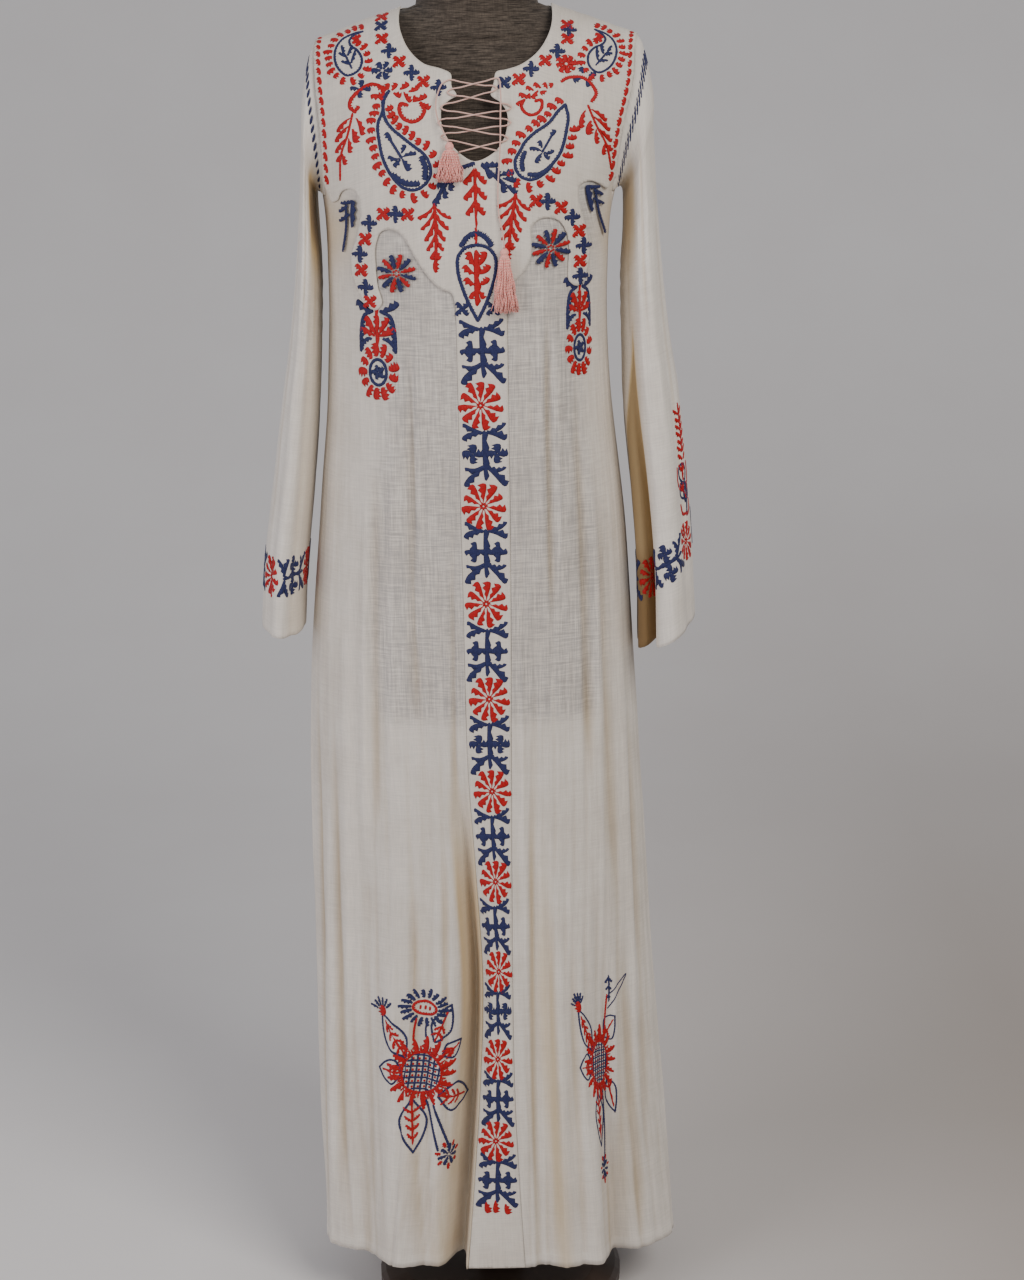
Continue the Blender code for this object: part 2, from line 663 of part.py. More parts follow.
def back_panel():
    """The back, in one piece from side seam to side seam."""
    heights = skirt_heights()
    gusset = gusset_angle(heights)
    reach_right = np.abs(body_point(math.pi / 2, heights)[:, 0])
    reach_left = np.abs(body_point(-math.pi / 2, heights)[:, 0])
    above_tip = np.where(heights > GUSSET_TIP, SEAM / 2, 0.0)
    start = math.pi / 2 + gusset["right"][1] + (SEAM / 2 + above_tip) / reach_right
    end = 3 * math.pi / 2 - gusset["left"][1] - (SEAM / 2 + above_tip) / reach_left
    bearings = start[:, None] + (end - start)[:, None] * np.array(BACK_SHARES)
    skirt = body_point(bearings, heights[:, None])
    start_x = skirt[-1, :, 0]
    side = start_x / np.where(start_x > 0, start_x.max(), -start_x.min())
    tip_x = np.where(side > 0, ARMHOLE[-1][2], ARMHOLE[-1][1])
    columns = np.array(BACK_COLUMNS)
    top_x = np.sign(side) * np.interp(np.abs(side), columns[:, 0], columns[:, 1]) * tip_x
    from_middle = np.clip(np.abs(top_x) / BACK_NECK_REACH, 0, 1)
    top_down = np.maximum(BACK_NECK_DROP * (1 - from_middle**2) ** BACK_NECK_CURVE, SHOULDER_SEAM)
    start_down = down_at(start_x, ARMPIT, back=True)
    rows = [skirt]
    for climb in CHEST_CLIMBS:
        x = start_x + (top_x - start_x) * climb
        hole_left, hole_right = smooth_rows(ARMHOLE, climb)
        hole = np.where(side > 0, hole_right, -hole_left)
        end_x = np.where(side > 0, x[0], x[-1])
        x = x + (hole - end_x) * np.abs(side) ** 3
        down = start_down + (top_down - start_down) * climb
        rows.append(chest_point(x, down, back=True)[None])
    return np.concatenate(rows, 0)


def gusset(side):
    """The underarm gusset: a triangle of cloth, point down in the side seam."""
    sign = -1 if side == "left" else 1
    heights = np.array(GUSSET_HEIGHTS)
    front, rear = gusset_angle(heights)[side]
    reach = np.abs(body_point(math.pi / 2 * sign, heights)[:, 0])
    gap = SEAM / 2 / reach
    share = np.linspace(0, 1, GUSSET_COLUMNS)
    start = math.pi / 2 - front + gap
    end = math.pi / 2 + rear - gap
    bearings = start[:, None] + (end - start)[:, None] * share
    return body_point(sign * bearings, heights[:, None])


def sleeve_turns():
    """Turns at which a sleeve's columns run: those of the panels' and the gusset's own points."""
    climbs = np.array(CHEST_CLIMBS[::-1])
    front = FRONT_TURN * (1 - climbs)
    under = np.linspace(FRONT_TURN, BACK_TURN, GUSSET_COLUMNS)
    back = BACK_TURN + (1 - BACK_TURN) * climbs[:0:-1]
    return np.concatenate([front, under, back])


def armhole_loop(side, turns):
    """The armhole edge at each turn, from the shoulder tip by the front, and the way out of it."""
    sign = -1 if side == "left" else 1
    column = 0 if sign < 0 else 1
    points = np.zeros((len(turns), 3))
    outward = np.zeros((len(turns), 3))
    for index, turn in enumerate(turns):
        if FRONT_TURN <= turn <= BACK_TURN:
            front, rear = (float(angle) for angle in gusset_angle(ARMPIT)[side])
            share = (turn - FRONT_TURN) / (BACK_TURN - FRONT_TURN)
            bearing = math.pi / 2 - front + (front + rear) * share
            points[index] = body_point(sign * bearing, ARMPIT)
            outward[index] = (0, 0, 1)
        else:
            back = turn > BACK_TURN
            climb = 1 - turn / FRONT_TURN if not back else (turn - BACK_TURN) / (1 - BACK_TURN)
            x = sign * float(smooth_rows(ARMHOLE, climb)[column])
            pit_x = sign * float(smooth_rows(ARMHOLE, 0.0)[column])
            start = down_at(pit_x, ARMPIT, back)
            down = np.array(float(start) * (1 - climb))
            points[index] = chest_point(np.array(x), down, back)
            ahead = chest_point(np.array(x + sign * ARMHOLE_STEP), down, back) - points[index]
            outward[index] = ahead / np.linalg.norm(ahead)
    for corner in (FRONT_TURN, BACK_TURN):
        near = np.abs(turns - corner) < CORNER_TURNS
        outward[near] += (sign, 0, 0)
    outward /= np.linalg.norm(outward, axis=1, keepdims=True)
    return points, outward


def sleeve(side, turns, shares):
    """A sleeve's outer face: the armhole, a short strip along the body, and rings to the cuff."""
    sign = -1 if side == "left" else 1
    loop, outward = armhole_loop(side, turns)
    first = loop + outward * SLEEVE_SEAM
    second = loop + outward * (SLEEVE_SEAM + SLEEVE_STRIP)
    angle = 2 * math.pi * turns
    controls = [(0.0, *second.ravel())]
    for share, out_x, out_z, in_x, in_z, deep, middle in SLEEVE_RINGS[side]:
        centre_x, centre_z = (out_x + in_x) / 2, (out_z + in_z) / 2
        half_x, half_z = (out_x - in_x) / 2, (out_z - in_z) / 2
        ring = np.stack(
            [
                sign * (centre_x + half_x * np.cos(angle)),
                middle - deep * np.sin(angle),
                centre_z + half_z * np.cos(angle),
            ],
            -1,
        )
        controls.append((share, *ring.ravel()))
    rings = smooth_rows(controls, shares).T.reshape(len(shares), len(turns), 3)
    centre = rings.mean(1, keepdims=True)
    away = rings - centre
    away /= np.linalg.norm(away, axis=2, keepdims=True)
    for start_turn, cuff_turn, spread, begins, whole, depth in SLEEVE_FOLDS[side]:
        at = start_turn + (cuff_turn - start_turn) * shares[:, None]
        gap = (turns[None, :] - at + 0.5) % 1 - 0.5
        strength = ease((shares[:, None] - begins) / (whole - begins))
        rings = rings + (depth * strength * np.exp(-((gap / spread) ** 2)))[..., None] * away
    return np.concatenate([first[None], rings], 0)


def placket():
    """The embroidered band between the front panels, from the hem to the keyhole."""
    heights = np.append(skirt_heights(), PLACKET_TOP)
    left_x, rolled, right_x = smooth_rows(PLACKET, heights)
    share = np.array(PLACKET_SHARES)
    x = left_x[:, None] + (right_x - left_x)[:, None] * share
    inward = rolled[:, None] * (1 - ease(share / PLACKET_ROLL))
    return body_point(bearing_at(x, heights[:, None]), heights[:, None], inward)


def arm_side_outline(side):
    """The yoke's edge up the armhole to the shoulder tip: x and angle down the rounding."""
    sign = -1 if side == "left" else 1
    column = 1 if sign < 0 else 2
    pit_x = ARMHOLE[0][column]
    start = float(down_at(pit_x, ARMPIT))
    points = []
    for climb in np.linspace(0.06, 1.0, 12):
        x = float(smooth_rows(ARMHOLE, climb)[column - 1]) - YOKE_MARGIN
        points.append((sign * x, max(start * (1 - climb), SHOULDER_EDGE)))
    return points


def flat_points(table):
    """A table of x and height, as x and angle down the front's rounding."""
    rows = np.array(table)
    x = rows[:, 0]
    height = np.minimum(rows[:, 1], shoulder_height(x) - NECK_MARGIN)
    down = np.maximum(down_at(x, height), SHOULDER_EDGE)
    return list(zip(x, down))


def yoke():
    """The yoke, cut flat from a grid by its outline and laid on the chest."""
    shoulder_right = [(x, SHOULDER_EDGE) for x in np.linspace(*SHOULDER_X, 6)]
    shoulder_left = [(-x, down) for x, down in shoulder_right[::-1]]
    outline = (
        flat_points(YOKE_LEFT)
        + arm_side_outline("left")
        + shoulder_left
        + flat_points(YOKE_NECK)
        + shoulder_right
        + arm_side_outline("right")[::-1]
        + flat_points(YOKE_RIGHT)[::-1]
    )
    cutter_mesh = bpy.data.meshes.new("yoke_outline")
    shape = bmesh.new()
    ring = [shape.verts.new((x, -down * YOKE_SCALE, -YOKE_CELL)) for x, down in outline]
    base = shape.faces.new(ring)
    grown = bmesh.ops.extrude_face_region(shape, geom=[base])["geom"]
    lifted = [item for item in grown if isinstance(item, bmesh.types.BMVert)]
    bmesh.ops.translate(shape, verts=lifted, vec=(0, 0, 2 * YOKE_CELL))
    bmesh.ops.recalc_face_normals(shape, faces=shape.faces)
    shape.to_mesh(cutter_mesh)
    shape.free()
    cutter = bpy.data.objects.new("yoke_outline", cutter_mesh)
    bpy.context.scene.collection.objects.link(cutter)
    in_collection(cutter, "cutters")
    cutter.hide_render = True
    cutter.display_type = "WIRE"

    wide, long = YOKE_SHEET
    columns, rows = (int(round(side / YOKE_CELL)) + 1 for side in YOKE_SHEET)
    x, y = np.meshgrid(np.linspace(-wide / 2, wide / 2, columns), np.linspace(-long, 0, rows))
    sheet = np.stack([x, y, np.full_like(x, YOKE_WALL)], -1)
    obj = add_mesh("front_yoke", sheet, grid_faces(rows, columns), "yoke_cloth")
    solid = obj.modifiers.new("wall", "SOLIDIFY")
    solid.thickness = YOKE_WALL
    solid.offset = -1
    cut = obj.modifiers.new("outline", "BOOLEAN")
    cut.operation = "INTERSECT"
    cut.object = cutter

    seen = obj.evaluated_get(bpy.context.evaluated_depsgraph_get())
    flat = bmesh.new()
    flat.from_mesh(seen.to_mesh())
    bmesh.ops.triangulate(flat, faces=flat.faces)
    place = np.array([vert.co[:] for vert in flat.verts])
    x, down = place[:, 0], np.maximum(-place[:, 1] / YOKE_SCALE, 0.0)
    under = LAID_AT_SHOULDER + (LAID - LAID_AT_SHOULDER) * ease(down / SHOULDER_EASE)
    aside = ease((np.abs(x) - SIDE_EASE[0]) / SIDE_EASE[1])
    low = ease((down - SIDE_EASE_DOWN[0]) / SIDE_EASE_DOWN[1])
    under += (LAID_AT_SIDE - LAID) * aside * low
    laid = lifted_from_chest(x, down, place[:, 2] + under)
    for vert, point in zip(flat.verts, laid):
        vert.co = point
    obj.modifiers.clear()
    flat.to_mesh(obj.data)
    flat.free()
    obj.data.shade_smooth()
    return obj


def lifted_from_chest(x, down, lift):
    """Points over the chest, `lift` out of the cloth's outer face."""
    near_x, near_down = 0.001, 0.004
    step_x = chest_point(x + near_x, down) - chest_point(x - near_x, down)
    step_down = chest_point(x, down + near_down) - chest_point(x, down - near_down)
    normal = np.cross(step_down, step_x)
    normal /= np.linalg.norm(normal, axis=-1, keepdims=True)
    return chest_point(x, down) + normal * np.asarray(lift)[..., None]


def on_chest(x, height, lift):
    """Points over the chest, from x, height and how far out of the cloth they lie."""
    x, height, lift = np.broadcast_arrays(*(np.asarray(v, float) for v in (x, height, lift)))
    return lifted_from_chest(x, down_at(x, height), lift)


def lace_route(side):
    """One cord of the lace: its tail, then its spans across the keyhole and turns at the holes."""
    route = [np.array(point) for point in LACE_TAILS[side]]
    holes = LACE_HOLES[side]
    for index, (x, height) in enumerate(holes):
        out = math.copysign(LACE_TURN, x)
        if index == 0:
            route.append(np.array((x, height, LACE_LIFT)))
        else:
            route.append(np.array((x, height + LACE_TURN, LACE_LIFT)))
            if index < len(holes) - 1:
                route.append(np.array((x + out, height, LACE_LIFT - LACE_DIP)))
                route.append(np.array((x, height - LACE_TURN, LACE_LIFT)))
        if index < len(holes) - 1:
            start = np.array((x, height - (LACE_TURN if index else 0.0), LACE_LIFT))
            ahead = holes[index + 1]
            end = np.array((ahead[0], ahead[1] + LACE_TURN, LACE_LIFT))
            for share, part in ((0.25, 0.5), (0.5, 1.0), (0.75, 0.5)):
                middle = start + (end - start) * share
                middle[2] += LACE_CROSSING[side] * part
                route.append(middle)
    return np.array(route)


def smooth_route(route, steps):
    """Points along a smooth curve through a route's own points."""
    along = np.concatenate([[0], np.cumsum(np.linalg.norm(np.diff(route, axis=0), axis=1))])
    at = np.linspace(0, along[-1], steps)
    at = np.unique(np.concatenate([at[1:-1], along]))
    gaps = np.diff(at)
    keep = np.concatenate([[True], gaps > LACE_RADIUS])
    return smooth_rows(np.column_stack([along, route]), at[keep]).T


def lace_cord(side):
    """A cord of the lace, as a tube."""
    route = smooth_route(lace_route(side), 24)
    points = on_chest(*route.T)
    curve = bpy.data.curves.new(f"lace_{side}", "CURVE")
    curve.dimensions = "3D"
    curve.bevel_depth = LACE_RADIUS
    curve.bevel_resolution = 2
    curve.use_fill_caps = True
    line = curve.splines.new("POLY")
    line.points.add(len(points) - 1)
    for spot, point in zip(line.points, points):
        spot.co = (*point, 1)
    curve.materials.append(material("lace_cord"))
    obj = bpy.data.objects.new(f"lace_{side}", curve)
    bpy.context.scene.collection.objects.link(obj)
    in_collection(obj, "kaftan_dress")


def tassel(side):
    """A tassel: a head, and strands drawn out of the squares of its underside."""
    x0, top, height, half_width, head_lift, end_lift = TASSELS[side]
    across, deep = TASSEL_CELLS
    shape = bmesh.new()
    u, v = np.meshgrid(np.linspace(-1, 1, across + 1), np.linspace(-1, 1, deep + 1))
    disc = np.stack([u * np.sqrt(1 - v**2 / 2), v * np.sqrt(1 - u**2 / 2)], -1)
    base = [[shape.verts.new((*spot, 0)) for spot in row] for row in disc]
    roots = []
    for row in range(deep):
        for column in range(across):
            corners = (base[row][column], base[row + 1][column])
            after = (base[row + 1][column + 1], base[row][column + 1])
            roots.append(shape.faces.new((*corners, *after)))
    rim = base[0] + [row[-1] for row in base[1:-1]] + base[-1][::-1]
    rim += [row[0] for row in base[-2:0:-1]]
    below = rim
    for rise, wide in HEAD_PROFILE[1:]:
        ring = [shape.verts.new((vert.co.x * wide, vert.co.y * wide, rise)) for vert in rim]
        for index, vert in enumerate(below):
            following = (index + 1) % len(rim)
            shape.faces.new((vert, below[following], ring[following], ring[index]))
        below = ring
    shape.faces.new(below)
    for vert in shape.verts:
        vert.co.x *= TASSEL_HEAD
        vert.co.y *= TASSEL_HEAD
    bmesh.ops.inset_individual(shape, faces=roots, thickness=STRAND_GAP)
    tips = list(roots)
    starts = [root.calc_center_median() for root in roots]
    corners = [[vert.co - start for vert in root.verts] for root, start in zip(roots, starts)]
    for share in STRAND_SHARES:
        grown = bmesh.ops.extrude_discrete_faces(shape, faces=tips)["faces"]
        tips = list(grown)
        for index, (tip, start) in enumerate(zip(tips, starts)):
            spread = half_width / TASSEL_HEAD
            sway = STRAND_SWAY * math.sin(2.4 * index + 5 * share)
            uneven = STRAND_UNEVEN * (1 - math.cos(1.7 * index))
            length = (height - HEAD_HEIGHT) * (1 - uneven)
            centre_x = start.x * (1 + (spread - 1) * share**STRAND_CURVE) + sway
            centre_y = start.y * (1 + STRAND_DEPTH * share)
            for vert, corner in zip(tip.verts, corners[index]):
                vert.co.x = centre_x + corner.x * (1 - STRAND_TAPER * share)
                vert.co.y = centre_y + corner.y * (1 - STRAND_TAPER * share)
                vert.co.z = -length * share
    bmesh.ops.recalc_face_normals(shape, faces=shape.faces)
    spots = np.array([vert.co[:] for vert in shape.verts])
    share = np.clip(-spots[:, 2] / height, 0, 1)
    lift = head_lift + (end_lift - head_lift) * share - spots[:, 1]
    laid = on_chest(x0 + spots[:, 0], top - HEAD_HEIGHT + spots[:, 2], lift)
    for vert, point in zip(shape.verts, laid):
        vert.co = point
    mesh = bpy.data.meshes.new(f"tassel_{side}")
    shape.to_mesh(mesh)
    shape.free()
    mesh.materials.append(material("tassel_yarn"))
    obj = bpy.data.objects.new(f"tassel_{side}", mesh)
    bpy.context.scene.collection.objects.link(obj)
    in_collection(obj, "kaftan_dress")


def oval(share):
    """Depth of an oval ring at a share of its half width."""
    return (1 - np.clip(np.abs(share), 0, 1) ** SQUARENESS) ** (1 / SQUARENESS)


def form_ring(height):
    """The form's outline at a height: torso and shoulders, blended with the neck."""
    wide, front, back = (float(value) for value in smooth_rows(TORSO, height))
    crest = SHOULDER_CREST - WALL - FORM_CLEARANCE
    slope_run = max((crest - height) / SHOULDER_SLOPE, 0.0) + SHOULDER_ROUND
    under_line = math.sqrt(slope_run**2 - SHOULDER_ROUND**2)
    neck_wide, neck_front, neck_back = (float(value) for value in smooth_rows(NECK, height))
    if height < NECK[0][0]:
        neck_wide, neck_front, neck_back = 0.001, 0.0, 0.0
    reach = max(min(wide, under_line), neck_wide)
    turns = np.linspace(0, 2 * math.pi, FORM_SIDES + 1)[:-1]
    x = reach * np.sin(turns)
    ahead = np.cos(turns) > 0
    above = shoulder_height(x) - (SHOULDER_CREST - crest) - height
    short = np.clip(1 - above / SHOULDER_DROP, 0.0, 1.0)
    shoulder = np.where(ahead, front, back) * oval(x / wide) * np.sqrt(1 - short**2)
    neck = np.where(ahead, neck_front, neck_back)
    neck = neck * np.sqrt(np.clip(1 - (x / neck_wide) ** 2, 0, 1))
    deep = (shoulder**NECK_BLEND + neck**NECK_BLEND) ** (1 / NECK_BLEND)
    return np.stack([x, np.where(ahead, -deep, deep), np.full(FORM_SIDES, height)], -1)


def form_torso():
    """The torso, shoulders and neck in one smooth solid."""
    points = np.array([form_ring(height) for height in FORM_HEIGHTS])
    count = len(FORM_HEIGHTS)
    faces = grid_faces(count, FORM_SIDES, closed=True)
    faces.append(tuple(range(FORM_SIDES))[::-1])
    faces.append(tuple((count - 1) * FORM_SIDES + index for index in range(FORM_SIDES)))
    return add_mesh("form_torso", points, faces, "form_linen")


def turned(name, profile, finish, steps=32):
    """A turned solid: a profile of radius and height, run down its outer side."""
    mesh = bpy.data.meshes.new(name)
    points = [(radius, 0, height) for radius, height in profile]
    mesh.from_pydata(points, [(i, i + 1) for i in range(len(points) - 1)], [])
    mesh.materials.append(material(finish))
    obj = bpy.data.objects.new(name, mesh)
    bpy.context.scene.collection.objects.link(obj)
    in_collection(obj, "kaftan_dress")
    screw = obj.modifiers.new("turn", "SCREW")
    screw.steps = steps
    screw.render_steps = steps
    screw.use_merge_vertices = True
    screw.merge_threshold = 0.00001
    return obj


def form_stand():
    """The cap on the neck, the pole under the torso and the round base."""
    neck_top = NECK[-1][0] + SEAM
    turned(
        "form_neck_cap",
        (
            (0.0, neck_top + CAP_HEIGHT),
            (0.030, neck_top + CAP_HEIGHT),
            (0.046, neck_top + CAP_HEIGHT - 0.003),
            (0.0535, neck_top + CAP_HEIGHT * 0.4),
            (0.0535, neck_top),
            (0.0, neck_top),
        ),
        "form_wood",
    )
    pole_top = TORSO[0][0] - SEAM
    pole_foot = BASE_HEIGHT + SEAM
    turned(
        "form_pole",
        (
            (0.0, pole_top),
            (0.034, pole_top),
            (0.034, pole_top - 0.010),
            (POLE_RADIUS, pole_top - 0.016),
            (POLE_RADIUS, pole_foot + 0.030),
            (0.026, pole_foot + 0.020),
            (0.030, pole_foot),
            (0.0, pole_foot),
        ),
        "form_metal",
        steps=24,
    )
    turned(
        "form_base",
        (
            (0.0, BASE_HEIGHT),
            (BASE_RADIUS - 0.030, BASE_HEIGHT),
            (BASE_RADIUS - 0.006, BASE_HEIGHT - 0.006),
            (BASE_RADIUS, BASE_HEIGHT - 0.011),
            (BASE_RADIUS, 0.0),
            (0.0, 0.0),
        ),
        "form_metal",
        steps=40,
    )


def main():
    for obj in list(bpy.data.objects):
        bpy.data.objects.remove(obj, do_unlink=True)
    add_wall("front_panel_left", front_panel("left"), "gauze", flip=True)
    add_wall("front_panel_right", front_panel("right"), "gauze")
    add_wall("back_panel", back_panel(), "gauze")
    add_wall("placket_band", placket(), "placket_cloth")
    turns = sleeve_turns()
    shares = np.array(SLEEVE_SHARES)
    add_wall("sleeve_left", sleeve("left", turns, shares), "sleeve_gauze", closed=True, flip=True)
    add_wall("sleeve_right", sleeve("right", turns, shares), "sleeve_gauze", closed=True)
    add_wall("gusset_left", gusset("left"), "sleeve_gauze", flip=True)
    add_wall("gusset_right", gusset("right"), "sleeve_gauze")
    yoke()
    for side in ("left", "right"):
        lace_cord(side)
        tassel(side)
    form_torso()
    form_stand()


main()
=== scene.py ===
import math

import bpy
import numpy as np
from mathutils import Matrix
from mathutils.geometry import delaunay_2d_cdt


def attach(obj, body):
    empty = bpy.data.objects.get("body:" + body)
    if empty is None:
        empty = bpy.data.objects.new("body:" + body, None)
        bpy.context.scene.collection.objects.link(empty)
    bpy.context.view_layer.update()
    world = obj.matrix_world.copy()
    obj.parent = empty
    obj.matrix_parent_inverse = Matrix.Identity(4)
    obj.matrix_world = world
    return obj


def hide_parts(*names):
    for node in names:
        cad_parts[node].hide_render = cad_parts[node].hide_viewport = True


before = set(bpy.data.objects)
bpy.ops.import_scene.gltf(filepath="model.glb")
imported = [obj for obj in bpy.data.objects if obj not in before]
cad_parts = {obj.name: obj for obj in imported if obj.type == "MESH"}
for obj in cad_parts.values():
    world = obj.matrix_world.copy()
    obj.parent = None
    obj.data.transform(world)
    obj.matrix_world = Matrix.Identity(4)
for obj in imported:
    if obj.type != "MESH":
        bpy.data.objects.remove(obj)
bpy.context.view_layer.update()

# A kaftan maxi dress on a limbless dress form. Metres, +Z up, the dress faces -Y, left is -X.
# Bearings are angles around the form: 0 faces the front, a quarter turn faces right.
SIDES = ("left", "right")


def metres(rows):
    """A table in metres from one in millimetres. Its shares are written in thousandths."""
    return np.array(rows, float) / 1000


CLOTH = 0.0008  # how thick the gauze is shown
HEM = 0.075
HEM_FOLD = 0.014
GUSSET_TIP = 1.277
ARMPIT = 1.335
SEAM = 0.0003
SHOULDER_CREST = 1.548
SHOULDER_SLOPE = 0.38
SHOULDER_ROUND = 0.05
FRONT_DROP = 0.20
BACK_DROP = 0.17
SQUARENESS = 2.3

# Rings of the worn cloth: height, and reach to the left, right, front and back
RINGS = metres((
    (75, 214, 214, 122, 122), (300, 214, 197, 120, 119), (480, 212, 184, 119, 116),
    (640, 210, 177, 119, 114), (820, 204, 167, 120, 113), (980, 189, 157, 122, 110),
    (1120, 175, 142, 124, 105), (1240, 170, 139, 126, 105), (1335, 173, 148, 125, 105),
    (1380, 181, 164, 124, 105), (1430, 191, 181, 124, 105), (1560, 197, 192, 124, 105),
))
# Armhole: share of the way from armpit to shoulder tip, and reach to the left and right
ARMHOLE = metres((
    (0, 168, 143), (250, 169, 153), (500, 174, 166), (750, 176, 170), (1000, 175, 174),
))
# Top of a front panel: share of its columns, x and height
FRONT_TOP = metres((
    (0, 27, 1362), (120, 42, 1378), (240, 50, 1408), (340, 50, 1440), (460, 68, 1462), (580, 90, 1482),
    (700, 112, 1500), (800, 130, 1509.5), (880, 145, 1507.2), (940, 156, 1600), (1000, 174.5, 1600),
))
BACK_NECK_REACH = 0.088
BACK_NECK_DROP = 0.82
# The back's columns: share of the half width at the armpit, and at the shoulder line
BACK_COLUMNS = metres((
    (0, 0), (200, 230), (330, 370), (420, 430), (500, 475), (580, 525), (700, 630), (850, 810),
    (1000, 1000),
))
# Edges of the band: height, x of its left edge, how far that edge is rolled in, x of its right
PLACKET = metres((
    (75, -37, 0, 31), (180, -28, 4, 26), (300, -19, 9, 22), (450, -13, 11, 21.5), (570, -18, 6, 22.5),
    (700, -24.5, 0, 24), (900, -26, 0, 26.5), (1250, -27, 0, 27.5), (1400, -27, 0, 27.5),
))
BAND_WIDTH = 0.0535
BAND_SEAM = 0.0002
# The deep fold beside the band: its columns' distance from the band where the fold starts and
# at the hem, and each column's share of the depth
DEEP_FOLD = metres((
    (0, 0, 0), (2.2, 2.2, 0), (4.4, 4, 340), (6.8, 5.6, 760), (9.6, 9.5, 1000), (13, 17, 860),
    (16.5, 25, 460), (21, 32, 120), (30, 45, -70), (45, 64, -110), (65, 88, -60),
))
DEEP_FOLD_DEPTH = metres((
    (75, 44), (200, 43), (450, 33), (600, 15), (720, 0),
))
DEEP_FOLD_TOP = 0.72

# Main folds of the body: bearing at the hem and at the top end, half width in degrees, heights
# between which it shows, and its height out of the ring
BODY_FOLDS = (
    (48, 40, 4.5, -0.3, 0.62, 0.016), (57, 51, 5, -0.3, 0.62, -0.03), (24, 21, 5, -0.2, 1.16, -0.007),
    (36, 30, 5, -0.2, 0.8, 0.008), (78, 76, 6, -0.2, 1.05, 0.007), (-38, -29, 4.5, -0.2, 1.18, -0.009),
    (-50, -41, 5, -0.2, 1.05, 0.008), (-62, -56, 5.5, -0.2, 0.98, -0.012),
    (-76, -72, 5, -0.2, 0.6, 0.008), (104, 106, 6, -0.2, 0.75, -0.012), (122, 126, 6, -0.2, 1.1, 0.012),
    (141, 147, 6, -0.2, 1.18, -0.016), (160, 164, 6, -0.2, 1, 0.014),
    (180, 180, 5.5, -0.2, 1.2, -0.014), (202, 197, 6, -0.2, 0.94, 0.014),
    (220, 212, 6, -0.2, 1.18, -0.015), (239, 233, 6, -0.2, 1.1, 0.011),
    (257, 254, 6, -0.2, 0.72, -0.011),
)
# Small creases on top of them: bearing at its foot and its top, half width in degrees, heights
# of its foot and top, and its height out of the cloth in units of 1.5 mm
CREASES = (
    (33.5, 31, 1.7, 0.86, 1.26, -2.6), (29, 27.5, 2, 0.95, 1.25, 1.2), (37, 36, 2.2, 0.9, 1.24, 1.6),
    (50, 46, 2.2, 0.66, 1.16, -2.4), (55.5, 52, 2, 0.7, 1.12, 1.6), (61, 57, 2.4, 0.48, 1.05, -1.8),
    (68, 66, 2.6, 0.3, 0.98, 1.5), (16.5, 18.5, 1.6, 0.35, 0.92, 1.2),
    (20.5, 22, 1.8, 0.12, 0.78, -1.6), (12.5, 14, 1.4, 0.08, 0.55, 0.9), (27, 25, 2, 0.16, 0.7, 1.4),
    (31, 29.5, 1.6, 0.06, 0.6, -1.5), (41, 39, 2.2, 0.08, 0.52, -1.3), (66, 62, 2.6, 0.06, 0.55, -1.6),
    (72, 70, 2.2, 0.2, 0.8, -1.4), (84, 82, 2.8, 0.06, 0.7, 1.5), (-33.5, -30.5, 1.8, 0.8, 1.24, 2.4),
    (-37, -33, 1.9, 0.74, 1.2, -2.4), (-19, -17, 1.6, 0.62, 1.02, -1.6),
    (-16, -14.5, 1.5, 0.66, 0.98, 1.3), (-45.5, -43, 2, 0.66, 1.18, 1.8), (-53, -50, 2, 0.6, 1.1, -1.8),
    (-57.5, -54, 1.8, 0.54, 1.06, 2.2), (-66, -61, 2, 0.38, 0.98, 1.8), (-71, -68, 1.8, 0.1, 0.8, -2),
    (-74, -72, 1.5, 0.08, 0.72, 2), (-79, -77, 1.6, 0.08, 0.86, -1.8),
    (-28, -24.5, 1.8, 0.2, 0.66, -1.5), (-33, -29, 1.6, 0.1, 0.58, 1.4),
    (-43, -38, 2, 0.06, 0.62, -1.6), (-52, -48, 2.2, 0.1, 0.56, 1.2), (-84, -84, 2.6, 0.1, 0.9, 1.6),
    (98, 99, 2.6, 0.1, 0.92, 1.6), (111, 112, 2.4, 0.14, 1.02, -1.6), (116, 118, 2, 0.4, 1.14, 1.8),
    (131, 134, 2.2, 0.18, 1, -1.8), (136, 139, 2, 0.52, 1.22, 2), (152, 155, 2.4, 0.12, 0.9, 1.6),
    (169, 171, 2.2, 0.3, 1.1, -2), (174.5, 175.5, 1.8, 0.6, 1.24, 1.8), (188, 186, 2.2, 0.16, 0.96, 2),
    (194, 191, 1.8, 0.46, 1.16, -1.8), (209, 204, 2.4, 0.24, 1.06, 1.6),
    (228, 222, 2.2, 0.12, 0.84, 1.8), (233, 227, 1.8, 0.5, 1.2, -1.9), (248, 243, 2.4, 0.2, 1.04, -1.6),
    (265, 262, 2.6, 0.1, 0.88, 1.6),
)

